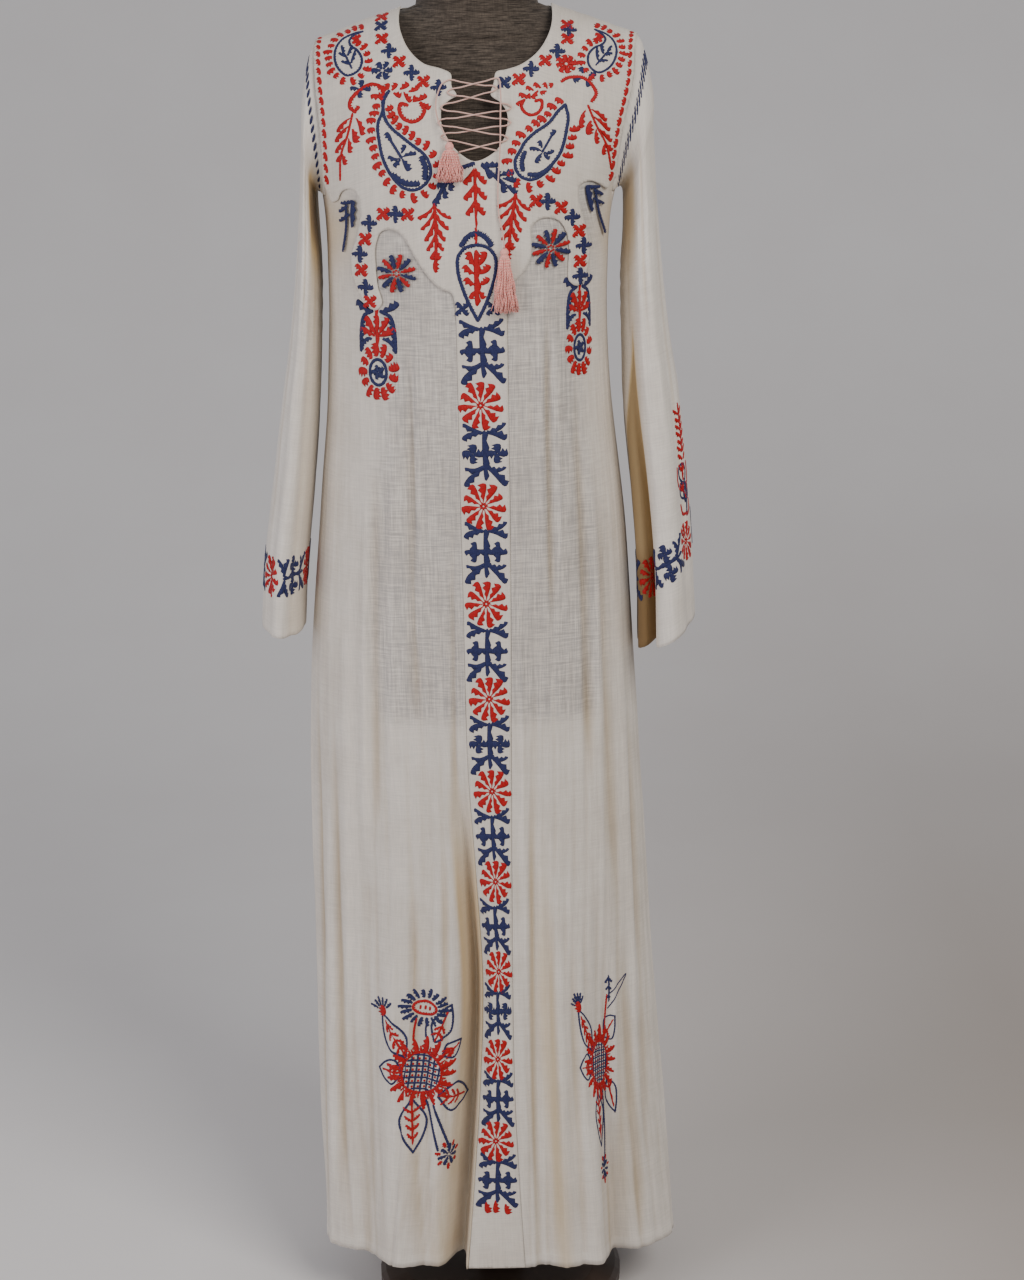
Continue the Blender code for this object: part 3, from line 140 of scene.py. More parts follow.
# Sleeve rings: share of the length, x and height of the outer edge, x and height of the inner
# edge, half depth front to back, and y of the middle
SLEEVE_RINGS = {
    "left": metres((
        (50, 189, 1455, 178.5, 1338, 61, 6), (150, 193.5, 1400, 181, 1320, 66, 8),
        (260, 197.5, 1338, 179.5, 1288, 70, 8), (380, 203.5, 1268, 178, 1244, 73, 6),
        (510, 213.5, 1186, 181, 1172, 75, 3), (640, 227, 1105, 186, 1096, 77, 0),
        (770, 240.5, 1015, 195, 1005, 79, -3), (900, 254, 922, 206, 913, 81, -6),
        (1000, 259, 858, 211, 848, 83, -8),
    )),
    "right": metres((
        (50, 188, 1452, 154.5, 1338, 61, 6), (150, 190.5, 1400, 157.5, 1320, 66, 8),
        (260, 193.5, 1338, 157, 1288, 70, 8), (380, 198.5, 1268, 154.5, 1246, 74, 5),
        (510, 207, 1188, 155, 1174, 77, 1), (640, 219.5, 1105, 157, 1092, 80, -4),
        (770, 228, 1015, 165, 1000, 83, -9), (900, 234, 925, 171, 908, 86, -14),
        (1000, 237, 862, 172, 826, 88, -16),
    )),
}
# Sleeve folds: turn around the sleeve (0 outer, 0.25 front, 0.5 inner) at its start and at the
# cuff, half width, share of the length where it starts and is whole, and its height
SLEEVE_FOLDS = {
    "left": (
        (0.17, 0.16, 0.03, 0.25, 0.7, -0.006), (0.33, 0.34, 0.03, 0.15, 0.6, -0.007),
        (0.62, 0.64, 0.035, 0.2, 0.6, -0.008), (0.82, 0.84, 0.035, 0.25, 0.7, 0.005),
    ),
    "right": (
        (0.36, 0.365, 0.024, 0.42, 0.92, -0.03), (0.43, 0.435, 0.022, 0.42, 0.92, 0.006),
        (0.15, 0.13, 0.03, 0.3, 0.7, -0.006), (0.64, 0.66, 0.035, 0.2, 0.6, -0.009),
        (0.84, 0.86, 0.035, 0.25, 0.7, 0.005),
    ),
}
# Small creases of both sleeves: turn at the start and the end, half width, shares of the length
# where it starts and ends, and its height in millimetres
SLEEVE_CREASES = (
    (0.06, 0.08, 0.012, 0.05, 0.7, 1.4), (0.11, 0.12, 0.01, 0.2, 0.95, -1.3),
    (0.21, 0.2, 0.013, 0.1, 0.8, 1.5), (0.26, 0.25, 0.01, 0.02, 0.55, -1.8),
    (0.3, 0.29, 0.012, 0.1, 0.9, 1.4), (0.39, 0.38, 0.012, 0.02, 0.6, -1.5),
    (0.47, 0.48, 0.016, 0.05, 0.75, 1.2), (0.56, 0.57, 0.014, 0.1, 0.85, -1.4),
    (0.69, 0.7, 0.012, 0.05, 0.8, 1.6), (0.75, 0.76, 0.011, 0.1, 0.9, -1.5),
    (0.79, 0.79, 0.012, 0.02, 0.6, 1.3), (0.9, 0.91, 0.014, 0.15, 0.95, -1.3),
    (0.96, 0.95, 0.012, 0.05, 0.75, 1.2),
)
FRONT_TURN, BACK_TURN = 0.43, 0.57

# The form's torso and neck: height, half width, reach to front and back
TORSO = metres((
    (760, 128, 88, 88), (800, 134, 94, 94), (880, 139, 100, 99), (960, 136, 99, 97),
    (1040, 124, 90, 86), (1120, 113, 83, 78), (1200, 118, 97, 80), (1270, 128, 114, 85),
    (1330, 134, 112, 89), (1380, 142, 104, 91), (1430, 153, 92, 86), (1470, 164, 84, 79),
    (1499, 169.5, 79, 74), (1560, 169.5, 79, 74),
))
NECK = metres((
    (1500, 69, 54.5, 53.5), (1520, 68, 54.5, 53.5), (1535, 66, 55, 54), (1545, 64, 55.5, 54.5),
    (1560, 59, 55.5, 54.5), (1585, 56, 55, 54.5), (1610, 54.5, 54, 54),
))
FORM_CLEARANCE = 0.0021
SHOULDER_DROP = 0.16
NECK_BLEND = 6

# Yoke outline: x and height down each side's scallops, and round the neckline and keyhole
YOKE_LEFT = metres((
    (-27.5, 1227), (-31, 1238.5), (-42, 1243), (-57, 1258), (-68, 1275), (-77, 1292), (-84, 1301),
    (-94, 1305), (-104, 1302), (-109.5, 1291), (-111, 1266), (-109.5, 1245), (-106.5, 1224),
    (-112, 1219), (-121, 1223), (-130, 1236), (-137, 1256), (-137, 1277), (-131, 1294), (-126, 1331),
    (-128.5, 1341), (-137, 1346), (-146, 1342), (-151, 1333), (-157, 1330),
))
YOKE_RIGHT = metres((
    (28, 1235), (30, 1246), (38, 1252), (47, 1262), (52.5, 1274), (54, 1290), (54.5, 1306), (60, 1312),
    (71, 1315), (83, 1311), (90.5, 1299), (93.5, 1283), (92.5, 1262), (94, 1246), (101, 1241),
    (108, 1244), (113.5, 1257), (115, 1281), (112, 1298), (107, 1319), (104, 1334), (106.5, 1347),
    (116, 1351), (126, 1347), (134, 1341),
))
YOKE_NECK = metres((
    (-81, 1600), (-80, 1506), (-70, 1486), (-55, 1473), (-35, 1467), (-27.5, 1463), (-26.5, 1450),
    (-21.5, 1441), (-28, 1437), (-36, 1430), (-38, 1416), (-32, 1399), (-19, 1383), (-4, 1375),
    (11, 1380), (24, 1392), (30, 1408), (30, 1424), (23, 1434), (14, 1441), (17, 1453), (20, 1464),
    (30, 1466), (46, 1471), (65, 1485), (77, 1505), (79, 1600),
))
YOKE_WALL = 0.0012
SHOULDER_EDGE = 0.004
SHOULDER_X = (0.095, 0.165)

# The lace's holes and tails, as x, height and how far out of the cloth
LACE_RADIUS = 0.0008
LACE_LIFT = 0.0037
LACE_CROSSING = {"left": -0.0012, "right": 0.0016}
LACE_TURN = 0.0012
LACE_HOLES = {
    "left": metres((
        (-29, 1456), (19, 1447), (-37, 1429), (33, 1413), (-37, 1400), (19, 1384),
    )),
    "right": metres((
        (21.5, 1457), (-30, 1444), (34, 1428), (-40, 1414), (30, 1397), (-20, 1383),
    )),
}
LACE_TAILS = {
    "left": metres((
        (-30.5, 1394, 10.5), (-34, 1402, 8.5), (-40, 1415, 7.5), (-42.5, 1428, 6.8), (-40.5, 1442, 5.6),
        (-35, 1453, 4.4),
    )),
    "right": metres((
        (24.5, 1286, 10.5), (23.5, 1301, 7), (20, 1320, 5), (19.5, 1345, 5), (21, 1370, 7),
        (22.5, 1395, 8.5), (23, 1420, 8.5), (23.5, 1442, 7.5),
    )),
}
# Tassels: x and height of the top, height of the whole, half width at the foot, and how far out
# of the cloth the head and the strands' ends lie
TASSELS = {
    "left": (-0.0290, 1.3935, 0.040, 0.0125, 0.0105, 0.0130),
    "right": (0.0245, 1.2855, 0.068, 0.0135, 0.0105, 0.0095),
}


def smooth_rows(table, at):
    """The columns of a table after its first, read at `at` along a cubic Hermite curve."""
    rows = np.asarray(table, float)
    knots, values = rows[:, 0], rows[:, 1:]
    slopes = np.gradient(values, knots, axis=0)
    at = np.clip(np.asarray(at, float), knots[0], knots[-1])
    cell = np.clip(np.searchsorted(knots, at) - 1, 0, len(knots) - 2)
    width = (knots[cell + 1] - knots[cell])[..., None]
    t = (at - knots[cell])[..., None] / width
    found = (
        (1 + 2 * t) * (1 - t) ** 2 * values[cell]
        + t * (1 - t) ** 2 * width * slopes[cell]
        + t**2 * (3 - 2 * t) * values[cell + 1]
        + t**2 * (t - 1) * width * slopes[cell + 1]
    )
    return np.moveaxis(found, -1, 0)


def ease(value):
    """0 below 0, 1 above 1, and 3t^2 - 2t^3 between."""
    t = np.clip(value, 0.0, 1.0)
    return t * t * (3 - 2 * t)


def bump_at(value, centre, spread):
    """A bell, exp(-d^2), where d is the distance from its centre over its spread."""
    return np.exp(-(((value - centre) / spread) ** 2))


def bell_round(turn, centre, spread, whole):
    """A bell across a bearing that runs round, where one full turn is `whole`."""
    away = (turn - centre + whole / 2) % whole - whole / 2
    return np.exp(-((away / spread) ** 2))


def summed(steps):
    """Running sums of steps, from 0."""
    return np.concatenate([[0], np.cumsum(steps)])


def run_of(points):
    """The length run along a line of points, from 0."""
    return summed(np.linalg.norm(np.diff(points, axis=0), axis=1))


def smooth_line(points, pitch):
    """Points at equal steps of about `pitch` along a smooth curve through the given ones."""
    points = np.asarray(points, float)
    along = run_of(points)
    fine = smooth_rows(np.column_stack([along, points]), np.linspace(0, along[-1], 400)).T
    length = run_of(fine)
    at = np.linspace(0, length[-1], max(int(round(length[-1] / pitch)), 1) + 1)
    return np.stack([np.interp(at, length, fine[:, k]) for k in range(fine.shape[1])], -1)


def shoulder_height(x):
    """The shoulder line: a crest less slope times the run, rounded at the neck."""
    return SHOULDER_CREST - SHOULDER_SLOPE * (np.hypot(x, SHOULDER_ROUND) - SHOULDER_ROUND)


def ring_depth(x, height, back=False):
    """Depth of an oval ring at x: depth times (1 - share^n)^(1/n)."""
    left, right, front, rear = smooth_rows(RINGS, height)
    share = np.clip(np.abs(x) / np.where(x > 0, right, left), 0.0, 1.0)
    return (rear if back else front) * (1 - share**SQUARENESS) ** (1 / SQUARENESS)


def fold_offset(bearing, height):
    """How far the main folds move the cloth out of its ring: a bell across each, eased down."""
    turn = np.degrees(bearing)
    out = np.zeros(np.broadcast(turn, height).shape)
    for hem_at, top_at, spread, low, high, depth in BODY_FOLDS:
        share = np.clip((height - HEM) / (high - HEM), 0.0, 1.0)
        strength = 1 - ease((height - low) / (high - low))
        centre = hem_at + (top_at - hem_at) * share
        out += depth * strength * bell_round(turn, centre, spread, 360)
    return out


CREASE_DEPTH = 0.0015  # metres for each unit of the table
CRINKLE_DEPTH = 0.0003
CROSS_DEPTH = 0.0002
HEM_RIDGE = 0.0005
CREASES_END = 1.16
CREASES_FADE = 0.10


def crease_offset(bearing, height):
    """Small creases, crinkles and the hem's fold: bells that wander, and a few fine waves."""
    turn = np.degrees(bearing)
    out = np.zeros(np.broadcast(turn, height).shape)
    for foot_at, top_at, spread, low, high, depth in CREASES:
        share = (height - low) / (high - low)
        centre = foot_at + (top_at - foot_at) * share + 0.5 * np.sin(9.0 * height + foot_at)
        strength = ease(share / 0.22) * ease((1 - share) / 0.35)
        out += depth * CREASE_DEPTH * strength * bell_round(turn, centre, spread, 360)
    low = 1 - ease((height - HEM) / 0.9)
    drift = 1.2 * np.sin(5.1 * height) + 0.5 * np.sin(14.0 * height + 0.05 * turn)
    crinkle = np.sin(1.31 * turn + drift) + 0.8 * np.sin(0.83 * turn - 2.3 * drift + 1.0)
    crinkle += 0.6 * np.sin(2.17 * turn + 3.1 * drift + 6.0 * height)
    out += CRINKLE_DEPTH * (0.5 + 1.2 * low) * crinkle
    across = np.sin(46 * height + 0.06 * turn) * np.sin(0.11 * turn + 7 * height)
    out += CROSS_DEPTH * across
    out += HEM_RIDGE * (1 - ease((height - HEM - HEM_FOLD) / 0.002))
    return out * (1 - ease((height - CREASES_END) / CREASES_FADE))


FLAT_HALF = 0.030  # no creases this near the middle, where the band lies
FLAT_FADE = 0.008


def body_point(bearing, height, inward=0.0):
    """The worn cloth: an oval ring at each height, moved along its own outward way."""
    bearing, height = np.broadcast_arrays(np.asarray(bearing, float), np.asarray(height, float))
    left, right, front, back = smooth_rows(RINGS, height)
    across, ahead = np.sin(bearing), np.cos(bearing)
    wide = np.where(across > 0, right, left)
    deep = np.where(ahead > 0, front, back)
    pull = (np.abs(across) / wide) ** SQUARENESS + (np.abs(ahead) / deep) ** SQUARENESS
    radius = pull ** (-1 / SQUARENESS)
    x, y = radius * across, -radius * ahead
    normal_x = np.sign(across) * np.abs(x / wide) ** (SQUARENESS - 1) / wide
    normal_y = -np.sign(ahead) * np.abs(y / deep) ** (SQUARENESS - 1) / deep
    length = np.hypot(normal_x, normal_y)
    creased = ease((np.abs(x) - FLAT_HALF) / FLAT_FADE) + (ahead < 0)
    offset = fold_offset(bearing, height) - inward
    offset = (offset + crease_offset(bearing, height) * np.minimum(creased, 1)) / length
    drop = np.where(ahead > 0, FRONT_DROP, BACK_DROP)
    short = np.clip(1 - (shoulder_height(x) - height) / drop, 0.0, 1.0)
    rounded = y * np.sqrt(np.maximum(1 - short**2, 0.0))
    return np.stack([x + offset * normal_x, rounded + offset * normal_y, height], -1)


def bearing_at(x, height, back=False):
    """The bearing at which a ring passes x, on the front or the back."""
    deep = ring_depth(x, height, back)
    return np.arctan2(x, -deep) % (2 * math.pi) if back else np.arctan2(x, deep)


def chest_point(x, down, back=False):
    """Cloth over the shoulders: a quarter ellipse down each slice, then straight down."""
    drop = BACK_DROP if back else FRONT_DROP
    fall = np.where(down < math.pi / 2, 1 - np.cos(down), 1 + down - math.pi / 2)
    height = shoulder_height(x) - drop * fall
    y = ring_depth(x, height, back) * np.sin(np.minimum(down, math.pi / 2))
    return np.stack([x, y if back else -y, height], -1)


def down_at(x, height, back=False):
    """The angle down that rounding at which the cloth passes a height."""
    fall = (shoulder_height(x) - height) / (BACK_DROP if back else FRONT_DROP)
    fall = np.maximum(fall, 0.0)
    return np.where(fall < 1, np.arccos(1 - np.minimum(fall, 1.0)), fall - 1 + math.pi / 2)


def lifted_from_chest(x, down, lift):
    """Points over the chest, moved `lift` along the cross product of its two slopes."""
    step_x = chest_point(x + 0.001, down) - chest_point(x - 0.001, down)
    step_down = chest_point(x, down + 0.004) - chest_point(x, down - 0.004)
    normal = np.cross(step_down, step_x)
    normal /= np.linalg.norm(normal, axis=-1, keepdims=True)
    return chest_point(x, down) + normal * np.asarray(lift)[..., None]


def gusset_angle(height):
    """Half the angle that each underarm gusset fills, to the front and to the back."""
    share = np.clip((np.asarray(height) - GUSSET_TIP) / (ARMPIT - GUSSET_TIP), 0.0, 1.0)
    angles = {}
    for side, edge, sign in zip(SIDES, smooth_rows(ARMHOLE, 0.0), (-1, 1)):
        front = math.pi / 2 - abs(float(bearing_at(sign * edge, ARMPIT)))
        rear = float(bearing_at(sign * edge, ARMPIT, back=True))
        rear = rear - math.pi / 2 if sign > 0 else 3 * math.pi / 2 - rear
        angles[side] = (front * share, rear * share)
    return angles


def skirt_heights(steps):
    """Heights from the hem to the armpit, with extra rows in the hem's fold."""
    fold = HEM + HEM_FOLD * np.array([0.0, 0.5, 0.9, 1.07, 1.16])
    return np.concatenate([fold, np.linspace(HEM + 1.6 * HEM_FOLD, ARMPIT, steps)])


DEEP_FOLD_COLUMNS = 43
LEFT_COLUMNS = 88  # from the deep fold to the side seam
RIGHT_COLUMNS = 122
BACK_PANEL_COLUMNS = 181


def front_panel(side, heights, climbs):
    """A front panel from the band to the side seam: rings below, chest slices above."""
    sign = -1 if side == "left" else 1
    left_x, rolled, right_x = smooth_rows(PLACKET, heights)
    edge_x = np.abs((left_x if sign < 0 else right_x) + sign * BAND_SEAM)
    front, _ = gusset_angle(heights)[side]
    reach = np.abs(body_point(math.pi / 2 * sign, heights)[:, 0])
    seam = math.pi / 2 - front - SEAM / 2 / reach
    if side == "left":
        table = np.column_stack([np.arange(len(DEEP_FOLD)), DEEP_FOLD])
        at = np.linspace(0, len(DEEP_FOLD) - 1, DEEP_FOLD_COLUMNS)
        start_at, hem_at, part = smooth_rows(table, at)
        low = ease((DEEP_FOLD_TOP - heights) / 0.45)[:, None]
        away = start_at + (hem_at - start_at) * low
        inward = smooth_rows(DEEP_FOLD_DEPTH, heights)[0][:, None] * part
        inward = inward + rolled[:, None] * (1 - ease(away / 0.02))
        near = np.abs(bearing_at(-(edge_x[:, None] + away), heights[:, None]))
        far = np.linspace(0, 1, LEFT_COLUMNS)[1:]
        far = near[:, -1:] + (seam[:, None] - near[:, -1:]) * far
        bearings = np.concatenate([near, far], 1)
        inward = np.concatenate([inward, np.zeros_like(far)], 1)
    else:
        start = np.abs(bearing_at(edge_x, heights))[:, None]
        bearings = start + (seam[:, None] - start) * np.linspace(0, 1, RIGHT_COLUMNS)
        inward = np.zeros_like(bearings)
    skirt = body_point(sign * bearings, heights[:, None], inward)
    start_x = np.abs(skirt[-1, :, 0])
    share = (start_x - start_x[0]) / (start_x[-1] - start_x[0])
    top_share, top_at, top_height = FRONT_TOP.T
    top_x = np.interp(share, top_share, top_at)
    top_x[0] = start_x[0]
    crest = shoulder_height(top_x)
    top_down = down_at(top_x, np.minimum(np.interp(share, top_share, top_height), crest))
    top_down = np.maximum(top_down, SHOULDER_EDGE)
    start_down = down_at(start_x, ARMPIT)
    climb = climbs[:, None]
    x = start_x + (top_x - start_x) * climb
    hole = smooth_rows(ARMHOLE, climb)[0 if sign < 0 else 1]
    x = x + (hole - x[:, -1:]) * share**3
    chest = chest_point(sign * x, start_down + (top_down - start_down) * climb)
    return np.concatenate([skirt, chest], 0)


def back_panel(heights, climbs):
    """The back from side seam to side seam: rings below, slices of the shoulders above."""
    gusset = gusset_angle(heights)
    reach_right = np.abs(body_point(math.pi / 2, heights)[:, 0])
    reach_left = np.abs(body_point(-math.pi / 2, heights)[:, 0])
    start = math.pi / 2 + gusset["right"][1] + SEAM / 2 / reach_right
    end = 3 * math.pi / 2 - gusset["left"][1] - SEAM / 2 / reach_left
    share = np.linspace(0, 1, BACK_PANEL_COLUMNS)
    bearings = start[:, None] + (end - start)[:, None] * share
    skirt = body_point(bearings, heights[:, None])
    start_x = skirt[-1, :, 0]
    side = start_x / np.where(start_x > 0, start_x.max(), -start_x.min())
    tip_x = np.where(side > 0, ARMHOLE[-1][2], ARMHOLE[-1][1])
    from_share, to_share = BACK_COLUMNS.T
    top_x = np.sign(side) * np.interp(np.abs(side), from_share, to_share) * tip_x
    from_middle = np.clip(np.abs(top_x) / BACK_NECK_REACH, 0, 1)
    top_down = np.maximum(BACK_NECK_DROP * (1 - from_middle**2) ** 1.3, SHOULDER_EDGE)
    start_down = down_at(start_x, ARMPIT, back=True)
    climb = climbs[:, None]
    x = start_x + (top_x - start_x) * climb
    hole_left, hole_right = smooth_rows(ARMHOLE, climb)
    hole = np.where(side > 0, hole_right, -hole_left)
    end_x = np.where(side > 0, x[:, :1], x[:, -1:])
    x = x + (hole - end_x) * np.abs(side) ** 3
    chest = chest_point(x, start_down + (top_down - start_down) * climb, back=True)
    return np.concatenate([skirt, chest], 0)


def gusset(side):
    """The underarm gusset: a triangle of cloth, point down in the side seam."""
    sign = -1 if side == "left" else 1
    heights = np.linspace(GUSSET_TIP + 0.002, ARMPIT, 14)
    front, rear = gusset_angle(heights)[side]
    reach = np.abs(body_point(math.pi / 2 * sign, heights)[:, 0])
    start = math.pi / 2 - front + SEAM / 2 / reach
    end = math.pi / 2 + rear - SEAM / 2 / reach
    bearings = start[:, None] + (end - start)[:, None] * np.linspace(0, 1, 17)
    return body_point(sign * bearings, heights[:, None])


def armhole_loop(side, turns):
    """The armhole edge at each turn, from the shoulder tip by the front, and the way out of it."""
    sign = -1 if side == "left" else 1
    column = 0 if sign < 0 else 1
    points = np.zeros((len(turns), 3))
    outward = np.zeros((len(turns), 3))
    front, rear = (float(angle) for angle in gusset_angle(ARMPIT)[side])
    under = (turns >= FRONT_TURN) & (turns <= BACK_TURN)
    share = (turns[under] - FRONT_TURN) / (BACK_TURN - FRONT_TURN)
    bearing = math.pi / 2 - front + (front + rear) * share
    points[under] = body_point(sign * bearing, ARMPIT)
    outward[under] = (0, 0, 1)
    pit_x = sign * float(smooth_rows(ARMHOLE, 0.0)[column])
    for back in (False, True):
        part = turns > BACK_TURN if back else turns < FRONT_TURN
        turn = turns[part]
        climb = (turn - BACK_TURN) / (1 - BACK_TURN) if back else 1 - turn / FRONT_TURN
        x = sign * smooth_rows(ARMHOLE, climb)[column]
        down = float(down_at(pit_x, ARMPIT, back)) * (1 - climb)
        points[part] = chest_point(x, down, back)
        ahead = chest_point(x + sign * 0.002, down, back) - points[part]
        outward[part] = ahead / np.linalg.norm(ahead, axis=1, keepdims=True)
    for corner in (FRONT_TURN, BACK_TURN):
        outward[:, 0] += sign * bump_at(turns, corner, 0.012)
    return points, outward / np.linalg.norm(outward, axis=1, keepdims=True)


def sleeve_creases(turns, along):
    """The sum of a sleeve's small creases at each turn and share of the length, in millimetres."""
    total = 0.0
    for start_turn, end_turn, spread, begins, ends, depth in SLEEVE_CREASES:
        share = (along - begins) / (ends - begins)
        strength = ease(share / 0.25) * ease((1 - share) / 0.3)
        centre = start_turn + (end_turn - start_turn) * share
        total = total + depth * strength * bell_round(turns, centre, spread, 1)
    return total


SLEEVE_GAP = 0.0002  # from the armhole's edge to the sleeve's first ring
SLEEVE_START = 0.003  # from that edge to where the sleeve has turned outwards
SLEEVE_CRINKLE = 0.00022
ELBOW = 0.42
ELBOW_CREASE = 0.0007


def sleeve(side, turns, shares):
    """A sleeve: slanted elliptic rings from the armhole to the cuff, moved out by its folds."""
    sign = -1 if side == "left" else 1
    loop, outward = armhole_loop(side, turns)
    angle = 2 * math.pi * turns
    controls = [(0.0, *(loop + outward * SLEEVE_START).ravel())]
    for share, out_x, out_z, in_x, in_z, deep, middle in SLEEVE_RINGS[side]:
        ring = np.stack(
            [
                sign * ((out_x + in_x) / 2 + (out_x - in_x) / 2 * np.cos(angle)),
                middle - deep * np.sin(angle),
                (out_z + in_z) / 2 + (out_z - in_z) / 2 * np.cos(angle),
            ],
            -1,
        )
        controls.append((share, *ring.ravel()))
    rings = smooth_rows(controls, shares).T.reshape(len(shares), len(turns), 3)
    away = rings - rings.mean(1, keepdims=True)
    away /= np.linalg.norm(away, axis=2, keepdims=True)
    along = shares[:, None]
    out = 0.001 * sleeve_creases(turns, along)
    for start_turn, cuff_turn, spread, begins, whole, depth in SLEEVE_FOLDS[side]:
        centre = start_turn + (cuff_turn - start_turn) * along
        strength = ease((along - begins) / (whole - begins))
        out += depth * strength * bell_round(turns, centre, spread, 1)
    drift = np.sin(11 * along) + 0.5 * np.sin(27 * along + 2)
    waves = np.sin(11 * angle + 2 * drift) + np.sin(17 * angle - 3 * drift)
    out += SLEEVE_CRINKLE * waves * ease(along / 0.1)
    elbow = bump_at(along, ELBOW, 0.08) * np.sin(150 * along + 9 * np.sin(angle))
    out += ELBOW_CREASE * elbow * (0.5 + 0.5 * np.cos(2 * math.pi * (turns - 0.35)))
    rings = rings + out[..., None] * away
    return np.concatenate([(loop + outward * SLEEVE_GAP)[None], rings], 0)


MIX = {"output": 2, "data_type": "RGBA"}
MULTIPLY = {"blend_type": "MULTIPLY", **MIX}


def add_node(tree, kind, inputs=(), output=0, **settings):
    """Adds a node and gives one of its outputs. Its inputs are plain values or other nodes'
    outputs, in order from the first, or by number or name."""
    made = tree.nodes.new("ShaderNode" + kind)
    for key, value in settings.items():
        setattr(made, key, value)
    for key, value in inputs.items() if isinstance(inputs, dict) else enumerate(inputs):
        if isinstance(value, bpy.types.NodeSocket):
            tree.links.new(value, made.inputs[key])
        else:
            made.inputs[key].default_value = value
    return made.outputs[output]


def linear(code):
    """A colour from its sRGB hex value."""
    parts = [int(code[at : at + 2], 16) / 255 for at in (1, 3, 5)]
    return (*(p / 12.92 if p <= 0.04045 else ((p + 0.055) / 1.055) ** 2.4 for p in parts), 1.0)


def threads(tree, place, across, along, detail=2.0):
    """Streaky noise: `across` metres from thread to thread, and `along` metres long."""
    scale = (1 / across, 1 / along, 1.0)
    spread = add_node(tree, "Mapping", {"Vector": place, "Scale": scale})
    inputs = {"Vector": spread, "Scale": 1.0, "Detail": detail, "Roughness": 0.6}
    return add_node(tree, "TexNoise", inputs)


def finish_of(name, roughness, specular=0.5, sheen=0.0, sheen_rough=0.5):
    """A new material with its shader's plain values; returns it and its tree."""
    made = bpy.data.materials.new(name)
    made.use_nodes = True
    inputs = made.node_tree.nodes["Principled BSDF"].inputs
    inputs["Roughness"].default_value = roughness
    inputs["Specular IOR Level"].default_value = specular
    inputs["Sheen Weight"].default_value = sheen
    inputs["Sheen Roughness"].default_value = sheen_rough
    return made, made.node_tree


def joined(made, colour, *bumps):
    """Links a material's colour, and its bumps one on another: height, distance and strength."""
    tree = made.node_tree
    shader = tree.nodes["Principled BSDF"]
    tree.links.new(colour, shader.inputs["Base Color"])
    under = {}
    for height, distance, strength in bumps:
        inputs = {"Height": height, "Distance": distance, "Strength": strength, **under}
        under = {"Normal": add_node(tree, "Bump", inputs)}
    if under:
        tree.links.new(under["Normal"], shader.inputs["Normal"])
    return made


def cotton(name, pale, shade, crinkled):
    """Hand-loomed cotton. Threads lie about 0.8 mm apart and are drawn 1.6 mm apart to show;
    thicker slubs run both ways. The eye gets a matt, slightly uneven cream. Crinkled gauze is
    also sheer: greyer where the dark form lies close behind it. Light and shade are also painted
    into its colour: painted shade in the valleys of its creases, a painted highlight on their
    ridges, and a painted tan shade where little light reaches."""
    made, tree = finish_of(name, 0.86, 0.25, 0.12, 0.45)
    place = add_node(tree, "UVMap", uv_map="cloth")
    warp = threads(tree, place, 0.0016, 0.030)
    weft = threads(tree, place, 0.024, 0.0016)
    slub_down = threads(tree, place, 0.0030, 0.11, 3.0)
    slub_across = threads(tree, place, 0.06, 0.0026, 3.0)
    cloudy = threads(tree, place, 0.07, 0.10, 3.0)
    folds = threads(tree, place, 0.0075, 0.11, 3.0)
    weave = add_node(tree, "Math", (warp, weft), operation="ADD")
    slubs = add_node(tree, "Math", (slub_down, slub_across), operation="ADD")
    share = add_node(tree, "MapRange", (cloudy, 0.35, 0.65))
    colour = add_node(tree, "Mix", {0: share, 6: linear(pale), 7: linear(shade)}, **MIX)
    seen = add_node(tree, "MapRange", (weave, 0.80, 1.20, 0.93, 1.04))
    colour = add_node(tree, "Mix", {0: 1.0, 6: colour, 7: seen}, **MULTIPLY)
    seen = add_node(tree, "MapRange", (slubs, 0.82, 1.18, 0.965, 1.025))
    colour = add_node(tree, "Mix", {0: 1.0, 6: colour, 7: seen}, **MULTIPLY)
    if crinkled:
        sheer = add_node(tree, "Attribute", output="Fac", attribute_name="sheer")
        mottle = add_node(tree, "Math", (weave, slubs), operation="ADD")
        thin = add_node(tree, "MapRange", (mottle, 1.70, 2.30, 1.7, 0.3))
        share = add_node(tree, "Math", (sheer, thin), operation="MULTIPLY")
        share = add_node(tree, "Math", (share, 0.50), operation="MULTIPLY")
        colour = add_node(tree, "Mix", {0: share, 6: colour, 7: linear("#8F8B8A")}, **MIX)
        # Painted shade and highlight: the fold attribute darkens the valleys of the creases and
        # lightens their ridges.
        fold = add_node(tree, "Attribute", output="Fac", attribute_name="fold")
        painted_valley_shade = add_node(tree, "Mix", {0: 1.0, 6: colour, 7: linear("#E2D6C3")}, **MULTIPLY)
        share = add_node(tree, "MapRange", (fold, 0.6, 0.0))
        colour = add_node(tree, "Mix", {0: share, 6: colour, 7: painted_valley_shade}, **MIX)
        painted_ridge_highlight = add_node(tree, "MapRange", (fold, 0.6, 1.0, 1.0, 1.09))
        colour = add_node(tree, "Mix", {0: 1.0, 6: colour, 7: painted_ridge_highlight}, **MULTIPLY)
        # Painted shade: a tan that deepens to dark brown where little light reaches, in deep folds,
        # under the arms and inside the sleeves.
        painted_tan_shade = add_node(tree, "Attribute", output="Fac", attribute_name="painted_tan_shade")
        for low, high, tan in ((0.0, 0.7, "#C9B084"), (0.7, 1.0, "#826845")):
            share = add_node(tree, "MapRange", (painted_tan_shade, low, high))
            colour = add_node(tree, "Mix", {0: share, 6: colour, 7: linear(tan)}, **MIX)
    depth = 0.0011 if crinkled else 0.0003
    return joined(made, colour, (folds, depth, 0.8), (weave, 0.0004, 0.55), (slubs, 0.0004, 0.5))


